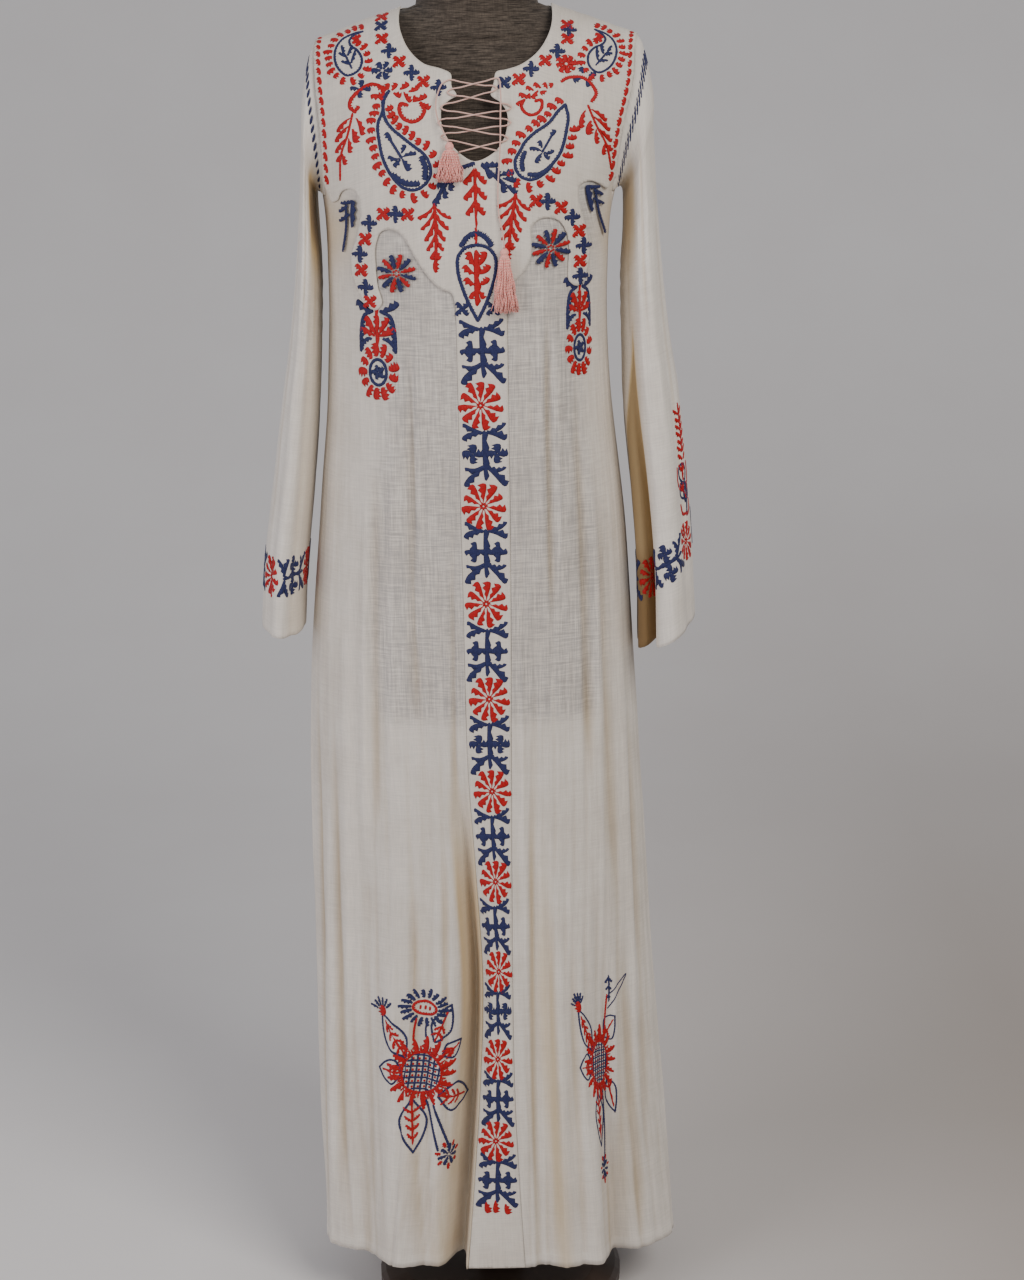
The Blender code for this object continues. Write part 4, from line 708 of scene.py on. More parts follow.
def embroidery_thread(name, colour, dark, light):
    """Stranded cotton thread, laid in short stitches across each petal. Its strands are drawn
    0.9 mm apart; the eye gets a soft shine that breaks into stripes, and small shade changes."""
    made, tree = finish_of(name, 0.6, 0.25, 0.1, 0.35)
    place = add_node(tree, "UVMap", uv_map="cloth")
    strands = threads(tree, place, 0.0009, 0.006)
    share = add_node(tree, "MapRange", (strands, 0.35, 0.65))
    tint = add_node(tree, "Mix", {0: share, 6: linear(dark), 7: linear(light)}, **MIX)
    patches = threads(tree, place, 0.010, 0.010)
    share = add_node(tree, "MapRange", (patches, 0.35, 0.70, 0.25, 0.75))
    tint = add_node(tree, "Mix", {0: share, 6: linear(colour), 7: tint}, **MIX)
    return joined(made, tint, (strands, 0.0006, 0.8))


def twisted_cotton(name, colour, dark, pitch):
    """Twisted cotton cord or yarn: plies wind round it once each pitch, in metres. The eye gets
    a pale matt pink with painted shade: darker slanted lines in the grooves between the plies."""
    made, tree = finish_of(name, 0.8, 0.3, 0.3)
    place = add_node(tree, "UVMap", uv_map="cloth")
    along = add_node(tree, "SeparateXYZ", (place,))
    across = add_node(tree, "SeparateXYZ", (place,), output=1)
    turns = add_node(tree, "Math", (along, 1 / pitch), operation="MULTIPLY")
    slant = add_node(tree, "Math", (turns, across), operation="ADD")
    wave = add_node(tree, "Math", (slant, 2 * math.pi), operation="MULTIPLY")
    ply = add_node(tree, "Math", (wave,), operation="SINE")
    # Painted shade: the darker colour fills the grooves where the plies meet.
    share = add_node(tree, "MapRange", (ply, -1.0, 0.2))
    tint = add_node(tree, "Mix", {0: share, 6: linear(dark), 7: linear(colour)}, **MIX)
    return joined(made, tint, (ply, 0.0003, 0.5))


def form_linen():
    """Slubbed linen, woven and stretched over the form: threads about 1 mm apart, drawn 1.5 mm.
    The eye gets a dark taupe with fine, short level streaks, some of them nearly grey."""
    made, tree = finish_of("slubbed_linen_dark_taupe", 0.88, 0.3, 0.15)
    place = add_node(tree, "TexCoord", output="Object")
    levels = add_node(tree, "Mapping", {"Vector": place, "Scale": (60.0, 60.0, 900.0)})
    uprights = add_node(tree, "Mapping", {"Vector": place, "Scale": (520.0, 520.0, 30.0)})
    inputs = {"Vector": levels, "Scale": 1.0, "Detail": 3.0, "Roughness": 0.7}
    weft = add_node(tree, "TexNoise", inputs)
    inputs = {"Vector": uprights, "Scale": 1.0, "Detail": 2.0, "Roughness": 0.6}
    warp = add_node(tree, "TexNoise", inputs)
    share = add_node(tree, "MapRange", (weft, 0.36, 0.66))
    tint = add_node(tree, "Mix", {0: share, 6: linear("#2A231D"), 7: linear("#5E544A")}, **MIX)
    streak = add_node(tree, "MapRange", (warp, 0.35, 0.65, 0.80, 1.12))
    tint = add_node(tree, "Mix", {0: 1.0, 6: tint, 7: streak}, **MULTIPLY)
    return joined(made, tint, (weft, 0.0006, 0.7), (warp, 0.0004, 0.5))


def form_wood():
    """Beech, turned and stained dark brown under satin lacquer: fine streaks follow the grain."""
    made, tree = finish_of("stained_beech_satin_lacquer", 0.38)
    place = add_node(tree, "TexCoord", output="Object")
    grain = add_node(tree, "Mapping", {"Vector": place, "Scale": (30.0, 260.0, 60.0)})
    inputs = {"Vector": grain, "Scale": 1.0, "Detail": 4.0, "Distortion": 0.6}
    streaks = add_node(tree, "TexNoise", inputs)
    share = add_node(tree, "MapRange", (streaks, 0.35, 0.65))
    tint = add_node(tree, "Mix", {0: share, 6: linear("#241A14"), 7: linear("#3F2D21")}, **MIX)
    return joined(made, tint, (streaks, 0.0002, 0.4))


def form_metal():
    """Steel under dark brown powder coat: an even satin with a fine orange-peel surface."""
    made, tree = finish_of("powder_coated_steel_dark_brown", 0.42)
    place = add_node(tree, "TexCoord", output="Object")
    peel = add_node(tree, "TexNoise", {"Vector": place, "Scale": 900.0, "Detail": 2.0})
    wear = add_node(tree, "TexNoise", {"Vector": place, "Scale": 14.0, "Detail": 3.0})
    share = add_node(tree, "MapRange", (wear, 0.35, 0.65))
    tint = add_node(tree, "Mix", {0: share, 6: linear("#3A2E26"), 7: linear("#463830")}, **MIX)
    return joined(made, tint, (peel, 0.0002, 0.3))


def linked(name, data):
    """A new object with its data, in the scene's collection."""
    obj = bpy.data.objects.new(name, data)
    bpy.context.scene.collection.objects.link(obj)
    return obj


def thicken(obj, wall):
    """Gives a sheet its wall, on the inner side."""
    made = obj.modifiers.new("wall", "SOLIDIFY")
    made.thickness = wall
    made.offset = -1


def mesh_piece(name, points, faces, finish, flat=None):
    """A new piece from arrays of points and of faces of one size; flat is each corner's place
    on the flat cloth."""
    points = np.reshape(points, (-1, 3))
    faces = np.asarray(faces)
    mesh = bpy.data.meshes.new(name)
    mesh.vertices.add(len(points))
    mesh.vertices.foreach_set("co", points.astype(np.float32).ravel())
    mesh.loops.add(faces.size)
    mesh.loops.foreach_set("vertex_index", faces.astype(np.int32).ravel())
    mesh.polygons.add(len(faces))
    starts = np.arange(0, faces.size, faces.shape[1], dtype=np.int32)
    mesh.polygons.foreach_set("loop_start", starts)
    mesh.update(calc_edges=True)
    mesh.validate()
    mesh.shade_smooth()
    if flat is not None:
        layer = mesh.uv_layers.new(name="cloth")
        layer.data.foreach_set("uv", np.asarray(flat, np.float32).ravel())
    mesh.materials.append(finish)
    obj = linked(name, mesh)
    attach(obj, "root")
    return obj


def cloth_piece(name, grid, finish, slot, closed=False, flip=False, sheer=0.0, painted_tan_shade=0.0, fold=0.6):
    """A thin shell on a grid of places; its outer face is the grid. UV is metres of cloth."""
    rows, columns = grid.shape[:2]
    around = np.concatenate([grid, grid[:, :1]], 1) if closed else grid
    u = summed(np.linalg.norm(np.diff(around, axis=1), axis=2).mean(0))
    v = summed(np.linalg.norm(np.diff(around, axis=0), axis=2).mean(1))
    row, column = np.meshgrid(np.arange(rows - 1), np.arange(around.shape[1] - 1), indexing="ij")
    corners = np.stack([[0, 0, 1, 1], [0, 1, 1, 0]], -1)
    if flip:
        corners = corners[::-1]
    at_row = row.ravel()[:, None] + corners[:, 0]
    at_column = column.ravel()[:, None] + corners[:, 1]
    faces = at_row * columns + at_column % columns
    flat = np.stack([u[at_column], v[at_row]], -1)
    obj = mesh_piece(name, grid, faces, finish, flat)
    # Attributes that the material reads: how much of the dark form shows through, the painted tan
    # shade, and the painted crease shade and highlight.
    for label, values in (("sheer", sheer), ("painted_tan_shade", painted_tan_shade), ("fold", fold)):
        values = np.zeros(grid.shape[:2]) + values
        layer = obj.data.attributes.new(label, "FLOAT", "POINT")
        layer.data.foreach_set("value", np.clip(values, 0, 1).astype(np.float32).ravel())
    thicken(obj, CLOTH)
    return obj


# Stitches: each is a colour, its start and end in millimetres, half width, two exponents that
# shape it (half width runs as t^a (1-t)^b), and how far its middle bends to the left
RED, NAVY, CREAM = 0, 1, 2
LEAF, CLUB, BAR = (0.5, 0.5), (0.8, 0.28), (0.16, 0.16)


def stitch(colour, x0, y0, x1, y1, width, shape=LEAF, bend=0.0):
    """One stitch as a row of numbers."""
    return np.array([[colour, x0, y0, x1, y1, width, *shape, bend]])


def stitches(colour, table, width, shape=CLUB, bend=0.0):
    """A stitch for each row of a table of starts and ends, all of one width and shape."""
    return [stitch(colour, *row, width, shape, bend) for row in table]


def bent_clubs(colour, table):
    """A club for each row of a table: its start and end, half width and bend."""
    return [stitch(colour, *row[:5], CLUB, row[5]) for row in table]


def placed(motif, x=0.0, y=0.0, turn=0.0, size=1.0, mirror=False, stretch=(1.0, 1.0)):
    """A motif stretched, mirrored left to right if asked, turned by degrees, scaled and moved."""
    rows = np.vstack(motif) if isinstance(motif, (list, tuple)) else motif
    rows = rows.copy()
    flip = -1 if mirror else 1
    for at in (1, 3):
        spot = rows[:, at] * stretch[0] * flip + 1j * rows[:, at + 1] * stretch[1]
        spot = spot * size * np.exp(1j * math.radians(turn)) + x + 1j * y
        rows[:, at], rows[:, at + 1] = spot.real, spot.imag
    rows[:, 5] *= size * math.sqrt(stretch[0] * stretch[1])
    rows[:, 8] *= size * flip * math.sqrt(stretch[0] * stretch[1])
    return rows


def both_sides(motif):
    """A motif and its mirror image."""
    return np.vstack([*motif, placed(motif, mirror=True)])


def rays(colour, count, near, far, width, shape=CLUB, start=90.0, sweep=360.0, squash=1.0):
    """Stitches out of a middle, at equal angles over a sweep."""
    steps = count if sweep == 360.0 else count - 1
    angle = np.radians(start + sweep * np.arange(count) / max(steps, 1))
    across, up = np.cos(angle), np.sin(angle) * squash
    uneven = 1 + 0.05 * np.sin(2.7 * np.arange(count) + far)
    rows = np.zeros((count, 9))
    rows[:, 0] = colour
    rows[:, 1], rows[:, 2] = near * across, near * up
    rows[:, 3], rows[:, 4] = far * across * uneven, far * up * uneven
    rows[:, 5] = width * (1 + 0.08 * np.cos(1.9 * np.arange(count)))
    rows[:, 6:8] = shape
    rows[:, 8] = 0.03 * far * np.sin(3.1 * np.arange(count))
    return rows


def line(colour, points, width=1.05, pitch=3.6):
    """A row of overlapping stem stitches along a smooth curve through points."""
    spots = smooth_line(points, pitch)
    rows = np.zeros((len(spots) - 1, 9))
    ahead = (spots[1:] - spots[:-1]) * 0.42
    rows[:, 0] = colour
    rows[:, 1:3], rows[:, 3:5] = spots[:-1] - ahead, spots[1:] + ahead
    rows[:, 5] = width
    rows[:, 6:8] = (0.3, 0.3)
    return rows


def fringe(colour, points, pitch, length, width, side=1.0, lean=0.35, near=2.4):
    """Short fat rays on one side of a smooth curve, leaning forward along it."""
    spots = smooth_line(points, pitch)
    ahead = np.gradient(spots, axis=0)
    ahead /= np.linalg.norm(ahead, axis=1, keepdims=True)
    out = np.stack([ahead[:, 1], -ahead[:, 0]], -1) * side
    way = out + lean * ahead
    uneven = 1 + 0.16 * np.sin(2.3 * np.arange(len(spots)))
    rows = np.zeros((len(spots), 9))
    rows[:, 0] = colour
    rows[:, 1:3] = spots + out * near
    rows[:, 3:5] = spots + out * near + way * (length * uneven)[:, None]
    rows[:, 5] = width
    rows[:, 6:8] = (0.45, 0.35)
    return rows


def spray(colour, length, pairs, leaf, angle, width):
    """A stem hanging down from the origin, with pairs of leaves that shorten towards its tip."""
    rows = [stitch(colour, 0, 0, 0.6, -length, 1.1, BAR, 0.02 * length)]
    for index in range(pairs):
        share = index / max(pairs - 1, 1)
        at = -length * (0.06 + 0.66 * share)
        reach = leaf * (1 - 0.5 * share)
        way = math.radians(angle + 5 * math.sin(2.2 * index))
        x1, y1 = reach * math.sin(way), at - reach * math.cos(way)
        leaf_row = stitch(colour, 0.6, at, x1, y1, width * (1 - 0.05 * index), CLUB, -0.10 * reach)
        rows.append(both_sides([leaf_row]))
    return np.vstack(rows)


def cross(colour, size=7.8, upright=False):
    """Four fat lobes that meet in a middle."""
    if upright:
        return rays(colour, 4, 0.1, 1.22 * size, 2.3, (0.3, 0.4), start=90)
    return rays(colour, 4, 0.1, 1.14 * size, 2.3, (0.35, 0.3), start=42)


def daisy():
    """Eleven long clubs, a little taller than wide, round a small stitched ring."""
    petals = rays(RED, 11, 2.6, 23.8, 3.2, (1.25, 0.26), squash=1.14, start=88)
    eye = rays(RED, 7, 0.8, 4.8, 1.1, LEAF, start=60)
    return np.vstack([petals, eye])


def band_tree(clover=False):
    """The upright plant between two flowers of the band: leaves, clubs and a thick stem."""
    half = [
        stitch(NAVY, 1.2, 24.0, 23.0, 34.5, 2.3, (0.35, 0.3), -2.2),
        stitch(NAVY, 1.5, 23.0, 23.5, 16.5, 3.0, CLUB, 2.8),
        stitch(NAVY, 1.5, -12.0, 22.5, -14.0, 2.2, (0.3, 0.35), -4.4),
        stitch(NAVY, 1.2, -15.0, 22.5, -35.0, 3.2, CLUB, 2.0),
    ]
    if clover:
        half.append(placed(rays(NAVY, 4, 0.2, 11.5, 3.5, (0.5, 0.3)), 13.0, 1.0))
    else:
        half.append(stitch(NAVY, 1.0, 1.0, 24.0, 0.4, 3.0, (0.15, 0.2)))
        half.append(stitch(NAVY, 13.2, -11.2, 12.8, 12.6, 2.9, (0.2, 0.2)))
    return np.vstack([both_sides(half), stitch(NAVY, 0, 27.0, 0.6, -29.0, 2.6, (0.2, 0.25))])


# Drops with a bent tip, drawn anticlockwise from the tip: x and y in millimetres
DROP = (
    (-16, 72), (-22, 65), (-23, 50), (-28, 38), (-27, 16), (-23, -3), (-13, -22), (-2, -32),
    (8, -34), (20, -28), (26, -18), (25, -6), (20, 3), (9, 12), (-3, 22), (-14, 32), (-20, 41),
    (-22, 50), (-21, 63), (-16, 72),
)
LEANING_DROP = (
    (28, 50), (22, 45), (11, 31), (-6, 19), (-15, 10), (-20, 1), (-25, -8), (-25, -16),
    (-20, -25), (-10, -29), (5, -23), (13, -14), (22, -2), (26, 9), (29, 23), (31, 37), (28, 50),
)


def paisley(outline=DROP, mirror=False, size=1.0):
    """A drop outlined in navy with a flower and two moons inside and red rays all round."""
    inside = [
        line(NAVY, ((-14, -18), (-5, -25), (6, -28), (13, -27)), 2.6, 5.0),
        line(NAVY, ((20, -22), (21, -11), (17, 0)), 2.6, 5.0),
        stitch(NAVY, -5, 0, -18, 2, 2.0, CLUB, 2.8),
        stitch(NAVY, -4, 0, 12, 4, 2.0, CLUB, 1.6),
        stitch(NAVY, -5, -1, -13, -9, 2.2, CLUB, 0.8),
        stitch(NAVY, -4, -1, 4, -14, 2.7, CLUB, 0.6),
        line(NAVY, ((-4, 0), (-10, 10), (-17, 22)), 1.3),
        stitch(NAVY, -13, 16, -20, 27, 2.6, CLUB),
        stitch(NAVY, -4, 4, 0, 14, 2.2, CLUB),
    ]
    edge = [line(NAVY, outline, 1.5, 4.0), fringe(RED, outline[:-2], 8.8, 10.0, 2.7)]
    return np.vstack(edge + [placed(inside, size=size, mirror=mirror)])


def leaning_paisley():
    """The right one, shorter and leaning out."""
    return paisley(LEANING_DROP, True, 0.86)


def small_paisley():
    """The shoulder's drop with its tip bent outwards, and a leafy twig inside."""
    outline = ((15, 30), (5, 29), (-6, 24), (-13, 14), (-15, 1), (-11, -14), (0, -24),
        (11, -19), (15, -5), (10, 6), (2, 14), (1, 21), (7, 27), (15, 30))
    leaves = ((-8, 15, -5, 2), (-11, 5, -3, -1), (4, 14, -1, 0), (8, 8, 3, -10), (-8, -6, 3, -11))
    inner = stitches(NAVY, leaves, 1.7, LEAF, 0.6)
    inner.append(line(NAVY, ((-4, 3), (0, -6), (4, -15)), 1.0))
    edge = [line(NAVY, outline, 1.2, 3.6), fringe(RED, outline[:-2], 7.0, 9.4, 2.5, lean=0.2)]
    return np.vstack(edge + inner)


def curl():
    """A red hook that rolls in, under a spray of fat leaves."""
    hook = ((-1, 1), (-8, 3), (-9, -7), (-3, -15), (6, -17), (14, -12), (17, -5), (13, 3))
    leaves = ((-21, 18, -22, 26), (-17, 17, -12, 26), (-9, 18, 1, 25), (0, 15, 11, 20),
        (4, 4, 20, 11), (-16, 15, -7, 11), (-5, 16, 3, 4), (15, 3, 23, -4), (6, 12, 8, 5))
    return np.vstack([line(RED, hook, 1.9, 4.0)] + stitches(RED, leaves, 2.5))


def swirl():
    """A red S that joins the shoulder's flowers to the branch below them."""
    path = ((24, -8), (23, 0), (17, 5), (7, 5), (1, 1), (-6, -5), (-11, -12), (-12, -19), (-6, -25))
    tips = [stitch(RED, 19, -3, 23, -13, 1.9, CLUB), stitch(RED, -6, -25, -2, -18, 2.0, CLUB)]
    return np.vstack([line(RED, path, 1.8, 4.0)] + tips)


def arch():
    """The right shoulder's plain red bow, which answers the S."""
    path = ((-3, -2), (3, 2), (10, 3), (17, 3), (24, -1), (30, -8), (33, -15), (28, -24))
    return line(RED, path, 1.6, 4.0)


def branch():
    """A red branch that hangs by its root and leans out, with fat uneven leaves."""
    stem = line(RED, ((0, 0), (-6, -24), (-13, -44), (-15, -72)), 1.1)
    leaves = (
        (-2, -4, -17, -20, 2.2, -1.5), (-3, -12, -19, -31, 2.1, -1.2), (-7, -26, -19, -43, 2.0, -0.8),
        (3, -4, 10, -24, 2.6, 2.2), (-1, -16, 3, -32, 3.1, 1.2), (-5, -26, -4, -43, 2.3, 0.8),
        (-12, -43, -18, -53, 1.9, -0.5), (-12, -43, -9, -56, 2.0, 0.5),
    )
    return np.vstack([stem] + bent_clubs(RED, leaves))


def star():
    """Twelve narrow petals, red and navy in turn, round a small eye."""
    red = rays(RED, 6, 4.4, 19.5, 1.9, (0.6, 0.3), start=75)
    navy = rays(NAVY, 6, 4.4, 20.0, 2.1, (0.6, 0.3), start=45)
    eye = rays(RED, 6, 1.6, 4.2, 1.1, LEAF)
    return np.vstack([red, navy, eye])


def pendant():
    """A fan of red petals in navy brackets, over a navy ring with fat red petals round it."""
    angle = np.linspace(0, 2 * math.pi, 17)
    ring = np.stack([10.5 * np.cos(angle), 14.0 * np.sin(angle)], -1)
    rows = [line(NAVY, ring, 1.6, 3.4), rays(NAVY, 5, 0.2, 9.0, 2.4, LEAF, start=35)]
    rows.append(rays(RED, 13, 13.5, 25.5, 3.5, (0.42, 0.3), squash=1.24, start=97))
    fan = rays(RED, 5, 2, 25.0, 3.2, CLUB, start=22, sweep=136)
    side = [
        line(NAVY, ((5, 66), (17, 60), (21, 46), (22, 22)), 1.9, 3.4),
        fringe(NAVY, ((19, 55), (22, 40), (23, 26)), 5.0, 4.0, 1.9, near=0.4),
        stitch(NAVY, 3, 65, 27, 76, 3.2, CLUB, -2.0),
        stitch(NAVY, 6, 36, 20, 26, 2.3, LEAF, 3.6),
    ]
    rows += [placed(fan, 0, 38), both_sides(side), stitch(RED, 0, 72, 0, 18, 1.8, BAR)]
    return np.vstack(rows)


def slot_leaf():
    """A navy leaf of unequal lobes that hangs in the yoke's side slot."""
    top = stitch(NAVY, -9, 15, 5, 18, 1.8, (0.3, 0.3), -1.0)
    right = stitch(NAVY, 5, 19, 3, -11, 2.2, (0.25, 0.4))
    left = stitches(NAVY, ((-11, 5, -1, 13), (-11, -5, 1, 4)), 1.6, (0.3, 0.4))
    return np.vstack([top, right, *left, line(NAVY, ((-3, 10), (-4, -12), (-8, -36)), 1.1)])


def fir():
    """A red tree of three tiers whose fat leaves slope down from a stem."""
    rows = [stitch(RED, 0, 2, 0.5, -60, 1.7, (0.2, 0.4))]
    for at, reach in ((2, 11), (-14, 11), (-30, 9)):
        rows.append(both_sides([stitch(RED, 0.5, at + 2, reach + 1, at - 15, 2.5, CLUB, -1.8)]))
    return np.vstack(rows)


def twig():
    """A red branch that hangs straight, with fat paired leaves."""
    rows = [line(RED, ((0, 0), (1, -30), (0, -68)), 1.5)]
    leaves = ((0, 0, 18, -15, 1.8, -3.2), (0, -4, 15, -27, 1.9, -3.2), (0, -12, 11, -39, 2.0, -2.8),
        (0, -30, 9, -49, 1.9, -1.8), (0, -47, 5, -58, 2.3, -0.8))
    rows.append(both_sides(bent_clubs(RED, leaves)))
    rows.append(stitch(RED, 0, -58, 0, -72, 2.6, LEAF))
    return np.vstack(rows)


def medallion():
    """A navy drop under two thick leaves, with a red plant inside."""
    half = [
        line(NAVY, ((0, 38), (12, 35), (20, 26), (21, 10), (16, -10), (9, -28), (0, -46)), 1.7, 3.8),
        line(NAVY, ((0, 51), (8, 48), (17, 37)), 2.6, 4.0),
        stitch(RED, 1, 6, 14, 16, 3.0, CLUB, -2.0),
        stitch(RED, 1, -6, 13, 2, 3.0, CLUB, -1.8),
        stitch(RED, 1, 14, 9, 31, 3.2, CLUB, -1.6),
        stitch(RED, 1, -12, 7, -22, 2.6, CLUB, 1.0),
    ]
    middle = [stitch(RED, 0, 33, 0, -30, 3.0, BAR), stitch(RED, 0, 38, 0, 58, 1.5, LEAF)]
    return np.vstack([both_sides(half)] + middle)


def navy_branch():
    """A thick navy branch that comes down to the left of the keyhole's foot."""
    stem = line(NAVY, ((4, 2), (-8, -2), (-20, -12), (-28, -22), (-36, -36)), 1.9, 4.0)
    leaves = ((-6, 0, -22, -3), (-12, -6, -17, -16), (-20, -10, -34, -11), (-20, -12, -21, -26),
        (-26, -18, -35, -20), (-27, -22, -27, -34), (-31, -28, -39, -40))
    return np.vstack([stem] + stitches(NAVY, leaves, 2.7, CLUB, 0.8))


def navy_spray():
    """Its answer on the right: a bar and a stem with fat leaves."""
    rows = [stitch(NAVY, -1, 1, 18, 1, 2.6, BAR), line(NAVY, ((2, 0), (14, -11), (24, -20)), 1.8)]
    leaves = ((3, -3, 10, -13), (15, -1, 17, -12), (18, -10, 34, -7), (21, -13, 36, -16),
        (24, -19, 36, -29), (20, -15, 23, -28))
    return np.vstack(rows + stitches(NAVY, leaves, 2.6, CLUB, 0.8))


def outlined_leaf(length, width, veins=4):
    """A hanging leaf outlined in navy with a red midrib and veins."""
    edge = ((1.5, 0), (width, -0.36 * length), (0.66 * width, -0.72 * length), (0, -length))
    half = [line(NAVY, edge, 1.15)]
    for index in range(veins):
        at = -length * (0.16 + 0.17 * index)
        reach = width * (0.66 - 0.09 * index)
        half.append(stitch(RED, 0.3, at - 5, reach, at + 4, 1.5, (0.4, 0.4), -0.6))
    return np.vstack([both_sides(half), stitch(RED, 0, 2, 0, -0.86 * length, 1.2, BAR)])


def set_leaves(table):
    """Outlined leaves: each one's length, width and veins, then its x, y and turn."""
    return [placed(outlined_leaf(*leaf), x, y, turn) for leaf, x, y, turn in table]


SEED_PITCH = 7.2
DISC_RADIUS = 24.5


def sunflower(fronting=True):
    """The hem's plant: a latticed disc in red petals, leaves, a bud, a head and a stalk. The
    right hem's turns away, with a plume for a head and a straight stalk."""
    rows = []
    for step in range(-3, 4):
        at = step * SEED_PITCH
        reach = math.sqrt(DISC_RADIUS**2 - at**2) - 1.0
        upright = (at - 1, -reach), (at + 0.6, 0), (at + 1.5, reach)
        level = (-reach, at + 1), (0, at + 0.6), (reach, at - 1)
        rows += [line(NAVY, upright, 1.0, 4.2), line(NAVY, level, 1.0, 4.2)]
    spots = (np.mgrid[-3:3, -3:3].reshape(2, -1).T + 0.5) * SEED_PITCH
    for x, y in spots[np.hypot(*spots.T) < DISC_RADIUS - 2.0]:
        rows.append(stitch(RED, x - 1.3, y - 0.4, x + 1.3, y + 0.4, 1.2, BAR))
    angle = np.linspace(0, 2 * math.pi, 25)
    circle = np.stack([np.cos(angle), np.sin(angle)], -1) * (DISC_RADIUS + 1.6)
    rows.append(line(RED, circle, 1.3, 4.0))
    for far, width, start in ((22.0, 3.1, 85), (10.0, 1.2, 96)):
        petals = (DISC_RADIUS + 1.5, DISC_RADIUS + far, width, (0.3, 0.6), start)
        rows.append(rays(RED, 17, *petals))
    rows += set_leaves((
        ((68, 17, 4), -10, -36, 4), ((32, 16, 2), -26, 0, -92), ((62, 13, 4), -22, 20, -147),
    ))
    bud = [rays(NAVY, 6, 7, 19, 1.5, (0.4, 0.35), start=40, sweep=115), stitch(RED, 0, -6, 0, 8, 4.4)]
    rows.append(placed(bud, -55, 74, turn=8))
    foot = [rays(NAVY, 7, 1, 14.5, 2.1), rays(RED, 7, 11, 19, 1.9, LEAF, start=116)]
    if not fronting:
        rows += [line(NAVY, ((9, -36), (12, -80), (8, -128)), 1.1), placed(foot, 4, -134)]
        rows += set_leaves((((46, 14, 1), 26, -24, 22), ((36, 16, 1), 18, 30, 130)))
        rows.append(line(RED, ((18, 38), (22, 60), (26, 80)), 1.2))
        rows.append(line(NAVY, ((28, 64), (58, 82), (82, 99), (34, 82)), 1.0))
        rows.append(placed(spray(NAVY, 34, 3, 12, 50, 1.8), 30, 105))
        return np.vstack(rows)
    rows += set_leaves((
        ((56, 17, 3), 24, -27, 78), ((30, 10, 2), 26, 24, 120), ((50, 13, 2), 14, 42, 158),
    ))
    head = [
        rays(NAVY, 18, 16.5, 33, 2.1, (0.4, 0.35), squash=0.74, start=80),
        line(RED, [(15 * math.cos(a), 8.4 * math.sin(a)) for a in angle], 1.5, 3.8),
        *stitches(RED, ((-6, -3, -6, 3), (0, -3, 0, 3), (6, -3, 6, 3)), 1.2, BAR),
    ]
    rows += [
        placed(head, -1, 83, turn=-3),
        line(RED, ((-13, 41), (-13, 54), (-11, 68)), 1.3),
        line(NAVY, ((2, 46), (1, 56), (2, 66)), 1.1),
        line(NAVY, ((8, -36), (17, -64), (27, -98)), 1.35),
        line(NAVY, ((18, -40), (29, -66), (41, -94)), 1.35),
        placed(foot, 42, -106),
    ]
    return np.vstack(rows)


def cuff_repeat(index):
    """One repeat of the cuff's border: the band's plant and flower, lying on their side."""
    plant = placed(band_tree(index % 2 == 0), turn=90, stretch=(0.92, 0.84))
    flower = placed(daisy(), 45, 0, stretch=(0.78, 0.86))
    return np.vstack([plant, flower])


def sleeve_plant():
    """The tall plant on the outer arm: a red stem, navy outlined flowers and red hooks."""
    rows = [line(RED, ((0, 72), (1, 92), (0, 124)), 1.3)]
    for side in (-1.0, 1.0):
        rows.append(fringe(RED, ((0, 62), (1, 84), (0, 112)), 8.0, 8.5, 1.7, side, 0.8, 0.8))
    for x, y, turn in ((-3, 58, 0), (-9, 36, 30), (9, 34, -30)):
        rows.append(placed(outlined_leaf(22, 8, 1), x, y, turn))
    rows += [
        line(RED, ((-16, 56), (-20, 46), (-17, 36)), 1.4),
        line(RED, ((16, 56), (20, 44), (16, 34)), 1.4),
        line(NAVY, ((0, 36), (2, 18), (0, 0)), 1.3),
        line(RED, ((-14, 14), (-8, 2), (0, 2)), 1.4),
        line(RED, ((14, 14), (9, 2), (0, 0)), 1.4),
    ]
    return np.vstack(rows)


# A stitch's cross-section: place across it, and height, both as shares of the half width
SECTION = np.array([(-1.0, 0.0), (-0.55, 0.85), (0.55, 0.85), (1.0, 0.0), (0.0, -0.3)])
STITCH_HEIGHT = 0.8  # millimetres, at most
LONG_STITCH = 6.5  # millimetres; longer ones have more rings along them
FULLNESS = 1.25  # how much the thread swells past the width of its drawn shape
RAGGED = 0.22  # how much the edge of a long stitch steps in and out
# Rings along a stitch: of more than twice the long length, of more than it, and the others
MOST_RINGS, MORE_RINGS, FEW_RINGS = 9, 7, 3


